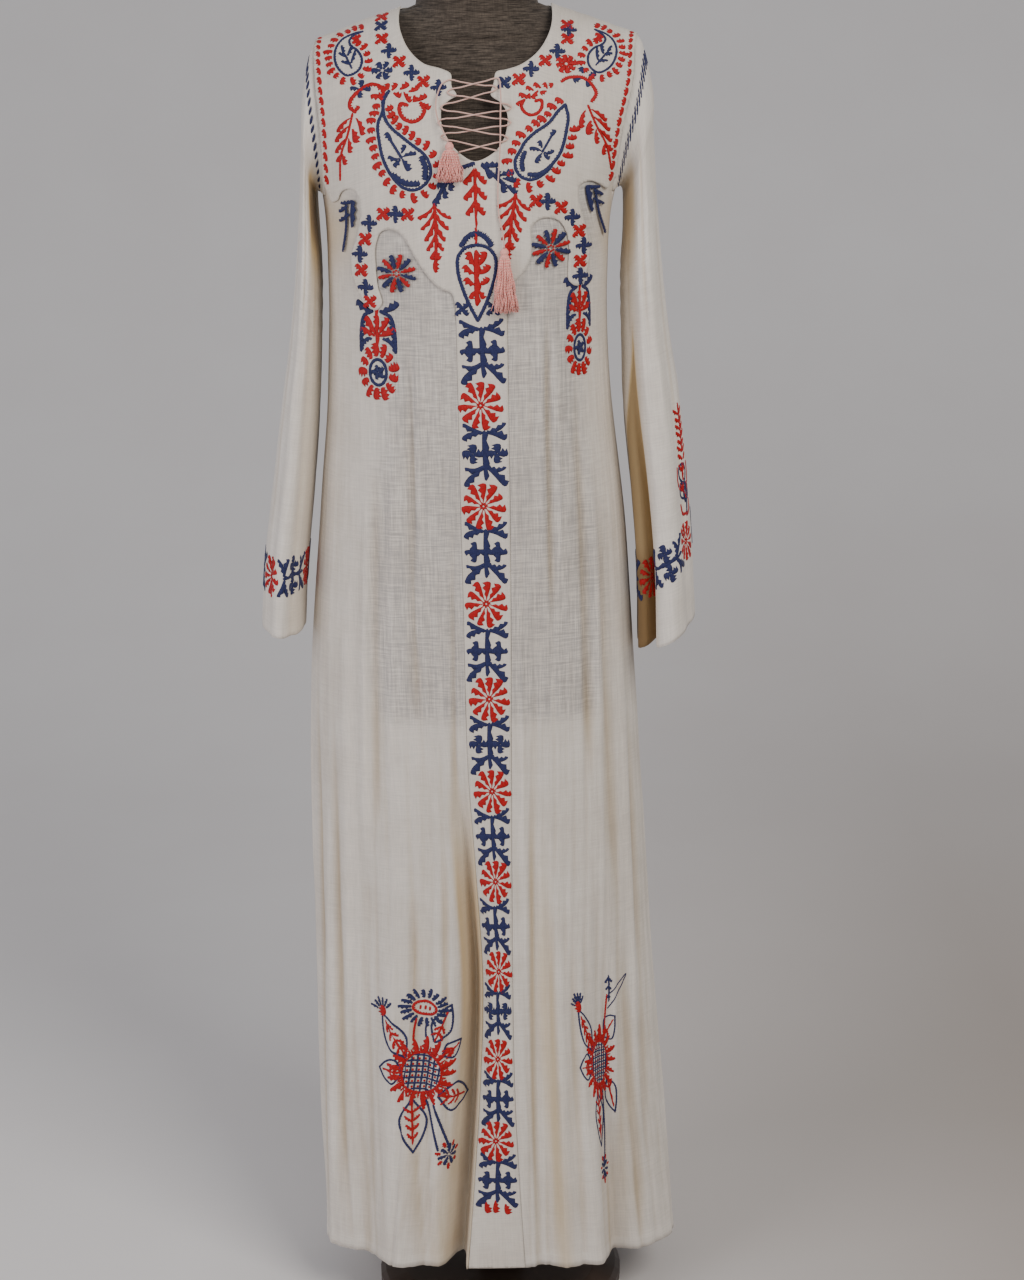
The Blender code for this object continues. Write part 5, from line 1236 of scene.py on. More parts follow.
def stitch_tubes(rows, rings):
    """Closed tubes for rows of stitches: places in millimetres with their lift, faces and UV."""
    count = len(rows)
    step = np.linspace(0, 1, rings + 2)
    t = 0.5 - 0.5 * np.cos(math.pi * step)
    start, end = rows[:, 1:3], rows[:, 3:5]
    run = end - start
    length = np.maximum(np.linalg.norm(run, axis=1), 0.01)
    left = np.stack([-run[:, 1], run[:, 0]], -1) / length[:, None]
    middle = (start + end) / 2 + left * 2 * rows[:, 8:9]
    share = t[None, :, None]
    line_at = (1 - share) ** 2 * start[:, None] + 2 * share * (1 - share) * middle[:, None]
    line_at = line_at + share**2 * end[:, None]
    slope = 2 * (1 - share) * (middle - start)[:, None] + 2 * share * (end - middle)[:, None]
    slope /= np.linalg.norm(slope, axis=2, keepdims=True)
    aside = np.stack([-slope[..., 1], slope[..., 0]], -1)
    first, last = rows[:, 6:7], rows[:, 7:8]
    peak = first / (first + last)
    shape = t**first * (1 - t) ** last / (peak**first * (1 - peak) ** last)
    ragged = RAGGED if rings > FEW_RINGS else 0.0
    ring = np.arange(rings + 2)
    jag = 0.9 * ragged * np.sin(math.pi * (ring + 0.5))
    notch = 1 + ragged * (-1.0) ** ring + 0.07 * np.sin(3.7 * np.arange(count))[:, None]
    half = rows[:, 5:6] * FULLNESS * shape * notch
    tall = np.minimum(half * 0.6, STITCH_HEIGHT)
    at_side = SECTION[:, 0] + jag[None, 1:-1, None]
    flat = line_at[:, 1:-1, None] + aside[:, 1:-1, None] * (half[:, 1:-1, None] * at_side)[..., None]
    lift = tall[:, 1:-1, None] * SECTION[:, 1]
    spots = np.concatenate([flat, lift[..., None]], -1).reshape(count, rings * 5, 3)
    ends = np.concatenate([line_at[:, (0, -1)], np.full((count, 2, 1), 0.02)], -1)
    points = np.concatenate([spots, ends], 1)
    along = (length[:, None, None] * t[1:-1, None] + 0 * SECTION[:, 0]).reshape(count, -1)
    aside_at = (half[:, 1:-1, None] * SECTION[:, 0]).reshape(count, -1)
    along = np.concatenate([along, 0 * length[:, None], length[:, None]], 1)
    aside_at = np.concatenate([aside_at, np.zeros((count, 2))], 1)
    shift = 13.0 * np.arange(count)[:, None]
    uv = np.stack([along + shift, aside_at + 3 * shift], -1) / 1000
    faces = []
    for side in range(5):
        beside = (side + 1) % 5
        faces.append((rings * 5, side, beside))
        for ring in range(rings - 1):
            near, ahead = ring * 5, ring * 5 + 5
            faces.append((near + side, ahead + side, ahead + beside))
            faces.append((near + side, ahead + beside, near + beside))
        faces.append((rings * 5 - 5 + side, rings * 5 + 1, rings * 5 - 5 + beside))
    faces = np.array(faces)[None] + (np.arange(count) * (rings * 5 + 2))[:, None, None]
    return points.reshape(-1, 3), faces.reshape(-1, 3), uv.reshape(-1, 2)


def sewn(name, rows, lay, finishes):
    """Pieces of stitches laid on cloth, one for each colour there."""
    rows = np.vstack(rows)
    made = []
    for colour, (label, finish) in enumerate(finishes):
        mine = rows[rows[:, 0] == colour]
        if not len(mine):
            continue
        size = np.hypot(mine[:, 3] - mine[:, 1], mine[:, 4] - mine[:, 2])
        points, faces, uv, used = [], [], [], 0
        longest = mine[size > 2 * LONG_STITCH]
        middling = mine[(size > LONG_STITCH) & (size <= 2 * LONG_STITCH)]
        short = mine[size <= LONG_STITCH]
        for part, rings in ((longest, MOST_RINGS), (middling, MORE_RINGS), (short, FEW_RINGS)):
            if len(part):
                spots, sides, flat = stitch_tubes(part, rings)
                points.append(spots)
                faces.append(sides + used)
                uv.append(flat)
                used += len(spots)
        spots, sides, flat = np.vstack(points), np.vstack(faces), np.vstack(uv)
        world = lay(spots[:, 0], spots[:, 1], spots[:, 2])
        made.append(mesh_piece(f"{name}_{label}", world, sides, finish, flat[sides.ravel()]))
    return made


PATCH_PITCH = 0.0015
THREAD_LIFT = 0.0001  # how far a stitch's foot lies out of the cloth


def patch(grid, column, first, last, reach):
    """A way onto a grid's outer face: millimetres across from a column, and up from a row."""
    part = grid[first:last]
    steps = np.linalg.norm(np.diff(part, axis=1), axis=2)
    across = np.concatenate([np.zeros((len(part), 1)), np.cumsum(steps, axis=1)], 1)
    across -= across[:, column : column + 1]
    u = np.arange(-reach, reach + PATCH_PITCH, PATCH_PITCH)
    even = np.array([[np.interp(u, run, spots) for spots in row.T] for run, row in zip(across, part)])
    even = even.transpose(0, 2, 1)
    up = run_of(part[:, column])
    v = np.arange(0, up[-1], PATCH_PITCH)
    cell = np.clip(np.searchsorted(up, v) - 1, 0, len(up) - 2)
    share = ((v - up[cell]) / (up[cell + 1] - up[cell]))[:, None, None]
    places = even[cell] * (1 - share) + even[cell + 1] * share
    normals = np.cross(np.gradient(places, axis=1), np.gradient(places, axis=0))
    normals /= np.linalg.norm(normals, axis=2, keepdims=True) + 1e-12

    def lay(x, y, lift):
        at_u = np.clip((x / 1000 + reach) / PATCH_PITCH, 0, len(u) - 1.001)
        at_v = np.clip(y / 1000 / PATCH_PITCH, 0, len(v) - 1.001)
        i, j = at_v.astype(int), at_u.astype(int)
        f, g = (at_v - i)[:, None], (at_u - j)[:, None]
        found = []
        for field in (places, normals):
            low = field[i, j] * (1 - g) + field[i, j + 1] * g
            high = field[i + 1, j] * (1 - g) + field[i + 1, j + 1] * g
            found.append(low * (1 - f) + high * f)
        return found[0] + found[1] * (lift / 1000 + THREAD_LIFT)[:, None]

    return lay


CAMERA_AT = (0.027, -2.54, 1.526)
CAMERA_TILT = 0.2705
CAMERA_ROLL = 0.016
CAMERA_LENS = 42.56

# How far down the chest the cloth runs at each angle of its rounding, in metres
CHEST_DEEP = 0.115
STRAIGHT = 7.0  # how many drops the cloth runs straight down below its rounding
ROUNDING = np.linspace(0, math.pi / 2, 200)
DOWN_STEPS = np.append(ROUNDING, math.pi / 2 + STRAIGHT)
DOWN_SLOPE = np.hypot(CHEST_DEEP * np.cos(ROUNDING), FRONT_DROP * np.sin(ROUNDING))
DOWN_RUN = summed((DOWN_SLOPE[1:] + DOWN_SLOPE[:-1]) / 2 * np.diff(ROUNDING))
DOWN_RUN = np.append(DOWN_RUN, DOWN_RUN[-1] + STRAIGHT * FRONT_DROP)
# How far down it shows in a picture taken from the camera's height
LOOK_DOWN = CHEST_DEEP * math.tan(CAMERA_TILT)
SEEN_RUN = FRONT_DROP * (1 - np.cos(ROUNDING)) + LOOK_DOWN * np.sin(ROUNDING)
SEEN_RUN = np.append(SEEN_RUN, SEEN_RUN[-1] + STRAIGHT * FRONT_DROP)

YOKE_STEP = 0.0030
OUTLINE_STEP = 0.0020
YOKE_END = 1.226


def seen_at(x, height):
    """The height, in mm, at which the yoke's place at an x and a true height is seen."""
    down = down_at(x / 1000, height / 1000)
    return height - 1000 * LOOK_DOWN * math.sin(min(float(down), math.pi / 2))


ROLLED_BELOW = 0.75  # the height below which the band's left edge is rolled in


def band_inward(x, height):
    """How far the rolled left edge of the band lies in."""
    left_x, rolled, right_x = smooth_rows(PLACKET, height)
    share = (x - left_x) / (right_x - left_x)
    return rolled * (1 - ease(share / 0.35)) * (height < ROLLED_BELOW)


BAND_LIFT = 0.0004
YOKE_TUCK = 0.0235  # x of the small tuck under the keyhole


def yoke_lift(x, down):
    """How far the yoke's outer face lies out of the panels, and that of the band below it."""
    height = chest_point(x, down)[..., 2]
    under = 0.0005 + 0.0005 * ease(down / 0.4)
    under = under + 0.0007 * ease((np.abs(x) - 0.10) / 0.03) * ease((down - 0.6) / 0.4)
    share = ease((height - 1.20) / 0.025)
    lift = BAND_LIFT + (under + YOKE_WALL - BAND_LIFT) * share
    tuck = bump_at(x, YOKE_TUCK, 0.0035)
    tuck = tuck * ease((1.385 - height) / 0.02) * ease((height - 1.235) / 0.02)
    waves = 0.00035 * np.sin(95 * x + 21 * height) * np.sin(48 * height - 30 * x)
    waves = waves + 0.00018 * np.sin(310 * x - 40 * height)
    return lift + 0.0016 * tuck + waves * share - band_inward(x, height)


def on_yoke(x, down, lift):
    """Places on the yoke or the band; their lift out of it is in millimetres."""
    return lifted_from_chest(x, down, yoke_lift(x, down) + lift / 1000)


def lay_yoke(x, y, lift):
    """A place on the yoke from millimetres across and down its flat cloth."""
    return on_yoke(x / 1000, np.interp(-y / 1000, DOWN_RUN, DOWN_STEPS), lift)


def lay_seen(x, y, lift):
    """A place on the yoke from millimetres across, and up as the picture sees it."""
    fall = shoulder_height(x / 1000) - y / 1000
    return on_yoke(x / 1000, np.interp(fall, SEEN_RUN, DOWN_STEPS), lift)


def lay_band(x, y, lift):
    """A place on the band: x across its full width, y is the height, both in millimetres."""
    height = y / 1000
    left_x, _, right_x = smooth_rows(PLACKET, height)
    across = (left_x + right_x) / 2 + x / 1000 / BAND_WIDTH * (right_x - left_x)
    return on_yoke(across, down_at(across, height), lift)


ARM_SETBACK = 0.0015


def arm_side(side):
    """The yoke's edge up the armhole, as x and angle down the rounding."""
    sign, column = (-1, 0) if side == "left" else (1, 1)
    climb = np.linspace(0.06, 1.0, 24)
    start = float(down_at(ARMHOLE[0][column + 1], ARMPIT))
    x = smooth_rows(ARMHOLE, climb)[column] - ARM_SETBACK
    return np.stack([sign * x, np.maximum(start * (1 - climb), SHOULDER_EDGE)], -1)


YOKE_TOP = 1.5479
TIP_SPOTS = 30
FOOT_SPOTS = 26


def yoke_outline():
    """The edge of the yoke and the band in one, as x and angle down, at even steps."""
    parts = []
    for table in (YOKE_LEFT, YOKE_NECK, YOKE_RIGHT):
        spots = smooth_line(np.minimum(table, (1.0, YOKE_TOP)), OUTLINE_STEP)
        height = np.minimum(spots[:, 1], shoulder_height(spots[:, 0]) - 0.00005)
        down = np.maximum(down_at(spots[:, 0], height), SHOULDER_EDGE)
        keep = down > SHOULDER_EDGE
        parts.append(np.stack([spots[:, 0], down], -1)[keep])
    scallops_left, neck, scallops_right = parts
    tips = np.linspace(*SHOULDER_X, TIP_SPOTS)
    right_tip = np.stack([tips, np.full(TIP_SPOTS, SHOULDER_EDGE)], -1)
    left_tip = right_tip[::-1] * (-1, 1)
    height = np.arange(HEM + 0.0004, YOKE_END, OUTLINE_STEP)
    left_x, _, right_x = smooth_rows(PLACKET, height)
    left_edge = np.stack([left_x, down_at(left_x, height)], -1)
    right_edge = np.stack([right_x, down_at(right_x, height)], -1)[::-1]
    foot_x = np.linspace(right_x[0], left_x[0], FOOT_SPOTS + 2)[1:-1]
    foot = np.stack([foot_x, down_at(foot_x, np.full(FOOT_SPOTS, height[0]))], -1)
    rows = [scallops_left, arm_side("left"), left_tip, neck, right_tip]
    rows += [arm_side("right")[::-1], scallops_right[::-1], right_edge, foot, left_edge]
    return np.vstack(rows)


def inside(points, ring):
    """Which points lie inside a closed ring: crossings of a ray to the right are odd."""
    found = np.zeros(len(points), bool)
    for (x0, y0), (x1, y1) in zip(ring, np.roll(ring, -1, axis=0)):
        spans = (points[:, 1] < y0) != (points[:, 1] < y1)
        if abs(y1 - y0) > 1e-12:
            at = x0 + (points[:, 1] - y0) / (y1 - y0) * (x1 - x0)
            found ^= spans & (points[:, 0] < at)
    return found


def from_edge(points, ring):
    """Each point's distance from the nearest point of a ring."""
    runs = np.array_split(points, max(len(points) // 1500, 1))
    return np.concatenate([np.sqrt(((run[:, None] - ring) ** 2).sum(2)).min(1) for run in runs])


YOKE_HALF = 0.180
BELOW_CHEST = 1.4
EDGE_CLEAR = 0.0014  # no inner point lies nearer the outline


def yoke_and_band(finish):
    """The yoke and the band under it: one outline filled with triangles and laid on the chest."""
    outline = yoke_outline()
    run = np.interp(outline[:, 1], DOWN_STEPS, DOWN_RUN)
    ring = np.stack([outline[:, 0], -run], -1)
    x = np.arange(-YOKE_HALF, YOKE_HALF, YOKE_STEP)
    y = np.arange(-DOWN_RUN[-2] - BELOW_CHEST, 0, YOKE_STEP)
    spots = np.stack(np.meshgrid(x, y), -1).reshape(-1, 2)
    spots[:, 0] += 0.0004 * np.sin(900 * spots[:, 1])
    spots = spots[inside(spots, ring)]
    spots = spots[from_edge(spots, ring) > EDGE_CLEAR]
    every = np.vstack([ring, spots])
    bound = [list(range(len(ring)))]
    places, _, faces, _, _, _ = delaunay_2d_cdt(list(every.tolist()), [], bound, 1, 1e-7)
    places = np.array([tuple(place) for place in places])
    faces = np.array([face for face in faces if len(face) == 3])
    used, faces = np.unique(faces, return_inverse=True)
    places, faces = places[used], faces.reshape(-1, 3)
    a, b, c = (places[faces[:, k]] for k in range(3))
    turned = (b[:, 0] - a[:, 0]) * (c[:, 1] - a[:, 1]) < (b[:, 1] - a[:, 1]) * (c[:, 0] - a[:, 0])
    faces[turned] = faces[turned][:, ::-1]
    edge = from_edge(places, ring)
    roll = 0.45 * bump_at(edge, 0.0012, 0.0014) - 0.25 * bump_at(edge, 0.0, 0.0006)
    world = lay_yoke(places[:, 0] * 1000, places[:, 1] * 1000, roll)
    obj = mesh_piece("yoke_and_band", world, faces, finish, places[faces.ravel()])
    thicken(obj, YOKE_WALL)
    return obj, ring


LEFT_CROSSES = (
    (RED, -101, 1520, 0), (NAVY, -101, 1511, 0), (RED, -100, 1498, 0), (NAVY, -92, 1486, 1),
    (RED, -81, 1475, 0), (NAVY, -68, 1464, 1), (RED, -56, 1455, 0), (NAVY, -40, 1449, 1),
    (RED, -101, 1321, 0), (NAVY, -88, 1321, 1), (RED, -75, 1321, 0), (NAVY, -116, 1311, 1),
    (RED, -121, 1294, 0), (NAVY, -127, 1278, 1), (RED, -126, 1261, 0), (NAVY, -122, 1243, 1),
    (RED, -118, 1228, 0),
)
RIGHT_CROSSES = (
    (RED, 95, 1509, 0), (NAVY, 97, 1504, 1), (RED, 95, 1495, 0), (NAVY, 84, 1483, 1),
    (RED, 71, 1474, 0), (NAVY, 56, 1466, 1), (RED, 43, 1456, 0), (NAVY, 28, 1453, 0),
    (RED, 59, 1333, 0), (NAVY, 71, 1332, 1), (RED, 85, 1325, 0), (NAVY, 97, 1314, 1),
    (RED, 104, 1299, 0), (NAVY, 109, 1283, 1), (RED, 105, 1267, 0), (NAVY, 105, 1251, 1),
)
# The yoke's larger motifs: function, x and the height it is seen at, turn, size, and 1 if mirrored
YOKE_MOTIFS = (
    (paisley, -76, 1348, 0, 1.0, 0), (leaning_paisley, 63, 1352, 0, 1.0, 0),
    (small_paisley, -136, 1464, 0, 1.0, 0), (small_paisley, 132, 1461, -14, 0.96, 1),
    (curl, -72, 1403, 0, 1.0, 0), (curl, 59, 1405, 0, 0.82, 1), (swirl, -122, 1423, 0, 1.0, 0),
    (arch, 91, 1430, 0, 1.0, 0), (branch, -131, 1396, 0, 1.0, 0), (branch, 115, 1401, 7, 1.0, 1),
    (navy_branch, -9, 1339, 0, 1.0, 0), (navy_spray, 3, 1338, 0, 1.0, 0),
    (fir, -4, 1333, 0, 1.0, 0), (medallion, -4, 1221, 0, 0.95, 0),
    (twig, -47, 1300, 0, 1.0, 0), (twig, 38, 1309, -8, 1.0, 1),
    (star, -89, 1227, 0, 1.05, 0), (star, 74, 1251, 0, 1.05, 0),
    (slot_leaf, -138, 1284, 0, 1.0, 0), (slot_leaf, 120, 1297, 6, 1.0, 1),
)

# Small flowers beside the shoulder's branches: colour, petals, start, end, width; x, height, turn
SHOULDER_FLOWERS = (
    ((NAVY, 6, 1.0, 11.5, 2.7), -99, 1444, 28), ((NAVY, 4, 1.0, 11.0, 2.3), -122, 1424, -6),
    ((RED, 8, 1.0, 11.5, 2.5), 93, 1448, 10), ((NAVY, 4, 4.0, 12.5, 2.3), 112, 1433, 20),
)


def yoke_stitches():
    """All the embroidery of the yoke, in millimetres as the picture sees it."""
    rows = []
    for colour, x, height, upright in LEFT_CROSSES + RIGHT_CROSSES:
        rows.append(placed(cross(colour, 7.6, bool(upright)), x, seen_at(x, height)))
    for motif, x, y, turn, size, mirror in YOKE_MOTIFS:
        rows.append(placed(motif(), x, y, turn, size, bool(mirror)))
    for petals, x, y, turn in SHOULDER_FLOWERS:
        rows.append(placed(rays(*petals), x, y, turn))
    return rows + [placed(cross(NAVY, 8.5), x, 1190) for x in (-20, 13)]


def arm_dashes():
    """Slanted red dashes down both arm edges of the yoke, on its flat cloth."""
    rows = []
    for side, sign in zip(SIDES, (-1, 1)):
        edge = arm_side(side)[:-2]
        run = -1000 * np.interp(edge[:, 1], DOWN_STEPS, DOWN_RUN)
        for x, y in smooth_line(np.stack([edge[:, 0] * 1000 - sign * 5.5, run], -1), 12.3):
            place = (x - sign * 1.5, y - 5.4, x + sign * 2.0, y + 6.0)
            rows.append(stitch(RED, *place, 1.8, (0.5, 0.4)))
    return rows


EDGE_PITCH = 4.2
EDGE_STITCH = 2.6
EDGE_INSET = 2.4


def edge_stitches(ring):
    """Cream running stitches just inside the yoke's edge."""
    closed = np.vstack([ring, ring[:1]]) * 1000
    length = run_of(closed)
    at = np.arange(0, length[-1] - 4, EDGE_PITCH)
    start = np.stack([np.interp(at, length, closed[:, k]) for k in (0, 1)], -1)
    end = np.stack([np.interp(at + EDGE_STITCH, length, closed[:, k]) for k in (0, 1)], -1)
    aside = np.stack([end[:, 1] - start[:, 1], start[:, 0] - end[:, 0]], -1)
    aside *= EDGE_INSET / (np.linalg.norm(aside, axis=1, keepdims=True) + 1e-9)
    places = np.concatenate([start + aside, end + aside], 1)
    return np.vstack(stitches(CREAM, places, 0.33, (0.3, 0.3)))


DAISIES = (
    (-3, 1118), (-2, 1007), (-1, 897), (1, 787), (2, 678), (2, 569), (2, 458), (0, 348), (-2, 243),
)
TREES = (1176, 1064, 955, 842, 733, 623, 513, 407, 296, 191)
LAST_PETALS = ((-13, 164, -9, 149), (-2, 166, -1, 149), (9, 161, 13, 147))


def band_stitches():
    """Flowers and upright plants in turn down the band, and three last petals by the hem."""
    rows = []
    for index, (x, z) in enumerate(DAISIES):
        rows.append(placed(daisy(), x, z, turn=3.0 * math.sin(2.1 * index)))
    for index, z in enumerate(TREES):
        plant = band_tree(index % 3 == 1)
        rows.append(placed(plant, 0.8 * math.sin(1.7 * index), z, turn=1.2 * math.cos(index)))
    for side in (-1, 1):
        dashes = ((side * 25.3, 85), (side * 25.4, 600), (side * 25.3, 1212))
        rows.append(line(CREAM, dashes, 0.3, 4.4))
    return rows + stitches(RED, LAST_PETALS, 3.0)


def lace_route(side):
    """One cord of the lace: its tail, then its spans across the keyhole and turns at the holes."""
    route = [np.array(point) for point in LACE_TAILS[side]]
    holes = LACE_HOLES[side]
    for index, (x, height) in enumerate(holes):
        out = math.copysign(LACE_TURN, x)
        if index == 0:
            route.append(np.array((x, height, LACE_LIFT)))
        else:
            route.append(np.array((x, height + LACE_TURN, LACE_LIFT)))
            if index < len(holes) - 1:
                route.append(np.array((x + out, height, LACE_LIFT - 0.0004)))
                route.append(np.array((x, height - LACE_TURN, LACE_LIFT)))
        if index < len(holes) - 1:
            start = np.array((x, height - (LACE_TURN if index else 0.0), LACE_LIFT))
            ahead = holes[index + 1]
            end = np.array((ahead[0], ahead[1] + LACE_TURN, LACE_LIFT))
            for share, part in ((0.25, 0.5), (0.5, 1.0), (0.75, 0.5)):
                middle = start + (end - start) * share
                middle[2] += LACE_CROSSING[side] * part
                route.append(middle)
    return np.array(route)


def on_chest(x, height, lift):
    """Points over the chest, from x, height and how far out of the cloth they lie."""
    x, height, lift = np.broadcast_arrays(*(np.asarray(v, float) for v in (x, height, lift)))
    return lifted_from_chest(x, down_at(x, height), lift)


LACE_SPOTS = 110


def lace_points(side):
    """Points along a lace's middle line: its route's own points and even ones between."""
    route = lace_route(side)
    along = run_of(route)
    at = np.unique(np.concatenate([np.linspace(0, along[-1], LACE_SPOTS)[1:-1], along]))
    at = at[np.concatenate([[True], np.diff(at) > LACE_RADIUS])]
    return on_chest(*smooth_rows(np.column_stack([along, route]), at))


def lace(side, finish):
    """A cord of the lace, as a bevelled curve that stands for its solid."""
    points = lace_points(side)
    curve = bpy.data.curves.new(f"lace_{side}_cord", "CURVE")
    curve.dimensions = "3D"
    curve.bevel_depth = LACE_RADIUS
    curve.bevel_resolution = 2
    curve.use_fill_caps = True
    spline = curve.splines.new("POLY")
    spline.points.add(len(points) - 1)
    spline.points.foreach_set("co", np.column_stack([points, np.ones(len(points))]).ravel())
    curve.materials.append(finish)
    obj = linked(f"lace_{side}_cord", curve)
    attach(obj, "root")
    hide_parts(f"lace_{side}")
    return obj, points


# Profile of a tassel's head: how far down from its top, and share of its radius
HEAD_PROFILE = metres((
    (0, 0), (0, 620), (1.2, 740), (2, 950), (3.5, 1060), (5.2, 1080), (6.2, 960), (7, 800), (7.8, 1020),
    (9.2, 1100), (11, 1060), (11.6, 0),
))
HEAD_SIDES = 18
HEAD_HEIGHT = 0.0075
TASSEL_HEAD = 0.0040
STRANDS = 190
STRAND_RADIUS = 0.00062
STRAND_CLEAR = 0.0035  # the least height of a strand over the cloth
# How far the strands spread, as a share of the table's half width, and how soon
SPREAD = {"left": (1.12, 0.5), "right": (0.95, 0.8)}


def ring_cells(rings, sides):
    """The first two corners of each cell between closed rings of points; the others follow."""
    row, column = np.meshgrid(np.arange(rings - 1), np.arange(sides), indexing="ij")
    return (row * sides + column).ravel(), (row * sides + (column + 1) % sides).ravel()


def tassel(side, finish):
    """A tassel: a turned head with a wound neck, and crinkled three-sided strands below it."""
    x0, top, height, half_width, head_lift, end_lift = TASSELS[side]
    rise = top - HEAD_PROFILE[:, 0]
    wide = TASSEL_HEAD * HEAD_PROFILE[:, 1]
    angle = np.linspace(0, 2 * math.pi, HEAD_SIDES + 1)[:-1]
    ring_x = wide[:, None] * np.cos(angle)
    ring_y = wide[:, None] * np.sin(angle)
    head = on_chest(x0 + ring_x, rise[:, None] + 0 * ring_x, head_lift - ring_y)
    a, b = ring_cells(len(rise), HEAD_SIDES)
    c, d = b + HEAD_SIDES, a + HEAD_SIDES
    head_faces = np.concatenate([np.stack([c, d, a], -1), np.stack([b, c, a], -1)])
    flat = np.stack([0.004 * head_faces % 0.07, 0.0016 * head_faces % 0.11], -1)

    dice = np.random.default_rng(7 if side == "left" else 11)
    steps = np.linspace(0, 1, 9)
    radius = TASSEL_HEAD * 0.98 * np.sqrt(dice.uniform(0, 1, STRANDS))
    around = dice.uniform(0, 2 * math.pi, STRANDS)
    start_x, start_y = radius * np.cos(around), radius * np.sin(around)
    length = (height - HEAD_HEIGHT) * dice.uniform(0.88, 1.0, STRANDS)
    phase = dice.uniform(0, 2 * math.pi, (STRANDS, 2))
    fuller, power = SPREAD[side]
    grown = 1 + (fuller * half_width / TASSEL_HEAD - 1) * steps**power
    sway = 0.0012 * np.sqrt(steps) * np.sin(13 * steps + phase[:, :1])
    sway = sway + 0.0010 * steps * dice.normal(0, 1, (STRANDS, 1))
    x = start_x[:, None] * grown + sway
    sway = 0.0008 * np.sqrt(steps) * np.sin(15 * steps + phase[:, 1:])
    y = start_y[:, None] * (1 + 0.5 * steps) + sway
    z = top - HEAD_HEIGHT - length[:, None] * steps
    share = (top - HEAD_HEIGHT - z) / height
    lift = head_lift + (end_lift - head_lift) * share - y
    thick = STRAND_RADIUS * (1 - 0.25 * steps)
    corner = np.radians([90, 210, 330])
    px = x[..., None] + thick[:, None] * np.cos(corner)
    lift = np.maximum(lift[..., None] + thick[:, None] * np.sin(corner), STRAND_CLEAR)
    strands = on_chest(x0 + px, z[..., None] + 0 * px, lift)
    count = len(steps)
    faces = [(2, 1, 0)]
    for step in range(count - 1):
        for k in range(3):
            near, ahead, beside_k = step * 3, step * 3 + 3, (k + 1) % 3
            faces.append((near + k, near + beside_k, ahead + beside_k))
            faces.append((near + k, ahead + beside_k, ahead + k))
    faces.append((count * 3 - 3, count * 3 - 2, count * 3 - 1))
    faces = np.array(faces)
    uv = np.stack([(faces // 3) * height / count, (faces % 3) * 0.0006], -1)
    every = faces[None] + (np.arange(STRANDS) * count * 3)[:, None, None] + head.size // 3
    points = np.concatenate([head.reshape(-1, 3), strands.reshape(-1, 3)])
    faces = np.concatenate([head_faces, every.reshape(-1, 3)])
    flat = np.concatenate([flat.reshape(-1, 2), np.tile(uv.reshape(-1, 2), (STRANDS, 1))])
    obj = mesh_piece(f"tassel_{side}_yarn", points, faces, finish, flat)
    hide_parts(f"tassel_{side}")


TORSO_SIDES = 96
CHEST_RINGS = (1.44, 26)  # the height that they reach, and how many there are
SHOULDER_RINGS = (1.444, 1.61, 60)


def form_torso(finish):
    """The torso, shoulders and neck in one smooth closed solid, rings blended as in the solid."""
    sides = TORSO_SIDES
    low = np.linspace(TORSO[0][0], *CHEST_RINGS)
    heights = np.concatenate([low, np.linspace(*SHOULDER_RINGS)])
    turns = np.linspace(0, 2 * math.pi, sides + 1)[:-1]
    ahead = np.cos(turns) > 0
    rings = []
    crest = SHOULDER_CREST - FORM_CLEARANCE
    for height in heights:
        wide, front, back = (float(value) for value in smooth_rows(TORSO, height))
        slope_run = max((crest - height) / SHOULDER_SLOPE, 0.0) + SHOULDER_ROUND
        under_line = math.sqrt(slope_run**2 - SHOULDER_ROUND**2)
        neck_wide, neck_front, neck_back = (float(value) for value in smooth_rows(NECK, height))
        if height < NECK[0][0]:
            neck_wide, neck_front, neck_back = 0.001, 0.0, 0.0
        x = max(min(wide, under_line), neck_wide) * np.sin(turns)
        above = shoulder_height(x) - (SHOULDER_CREST - crest) - height
        short = np.clip(1 - above / SHOULDER_DROP, 0.0, 1.0)
        oval = (1 - np.clip(np.abs(x / wide), 0, 1) ** SQUARENESS) ** (1 / SQUARENESS)
        shoulder = np.where(ahead, front, back) * oval * np.sqrt(1 - short**2)
        neck = np.sqrt(np.clip(1 - (x / neck_wide) ** 2, 0, 1))
        neck = np.where(ahead, neck_front, neck_back) * neck
        deep = (shoulder**NECK_BLEND + neck**NECK_BLEND) ** (1 / NECK_BLEND)
        rings.append(np.stack([x, np.where(ahead, -deep, deep), np.full(sides, height)], -1))
    rings = np.array(rings)
    ends = np.array([rings[0].mean(0), rings[-1].mean(0)])
    a, b = ring_cells(len(heights), sides)
    faces = [np.stack([a, b, b + sides], -1), np.stack([a, b + sides, a + sides], -1)]
    foot = np.full(sides, len(heights) * sides)
    last = (len(heights) - 1) * sides
    faces.append(np.stack([b[:sides], a[:sides], foot], -1))
    faces.append(np.stack([last + a[:sides], last + b[:sides], foot + 1], -1))
    points = np.concatenate([rings.reshape(-1, 3), ends])
    obj = mesh_piece("form_torso_cover", points, np.concatenate(faces), finish)
    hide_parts("form_torso")


def turn_to(obj, right, up, back, at):
    """Turns an object to three axes of any length, and moves it to a place."""
    turned = np.eye(4)
    for column, axis in enumerate((right, up, back)):
        turned[:3, column] = axis / np.linalg.norm(axis)
    turned[:3, 3] = at
    obj.matrix_world = Matrix(turned.tolist())


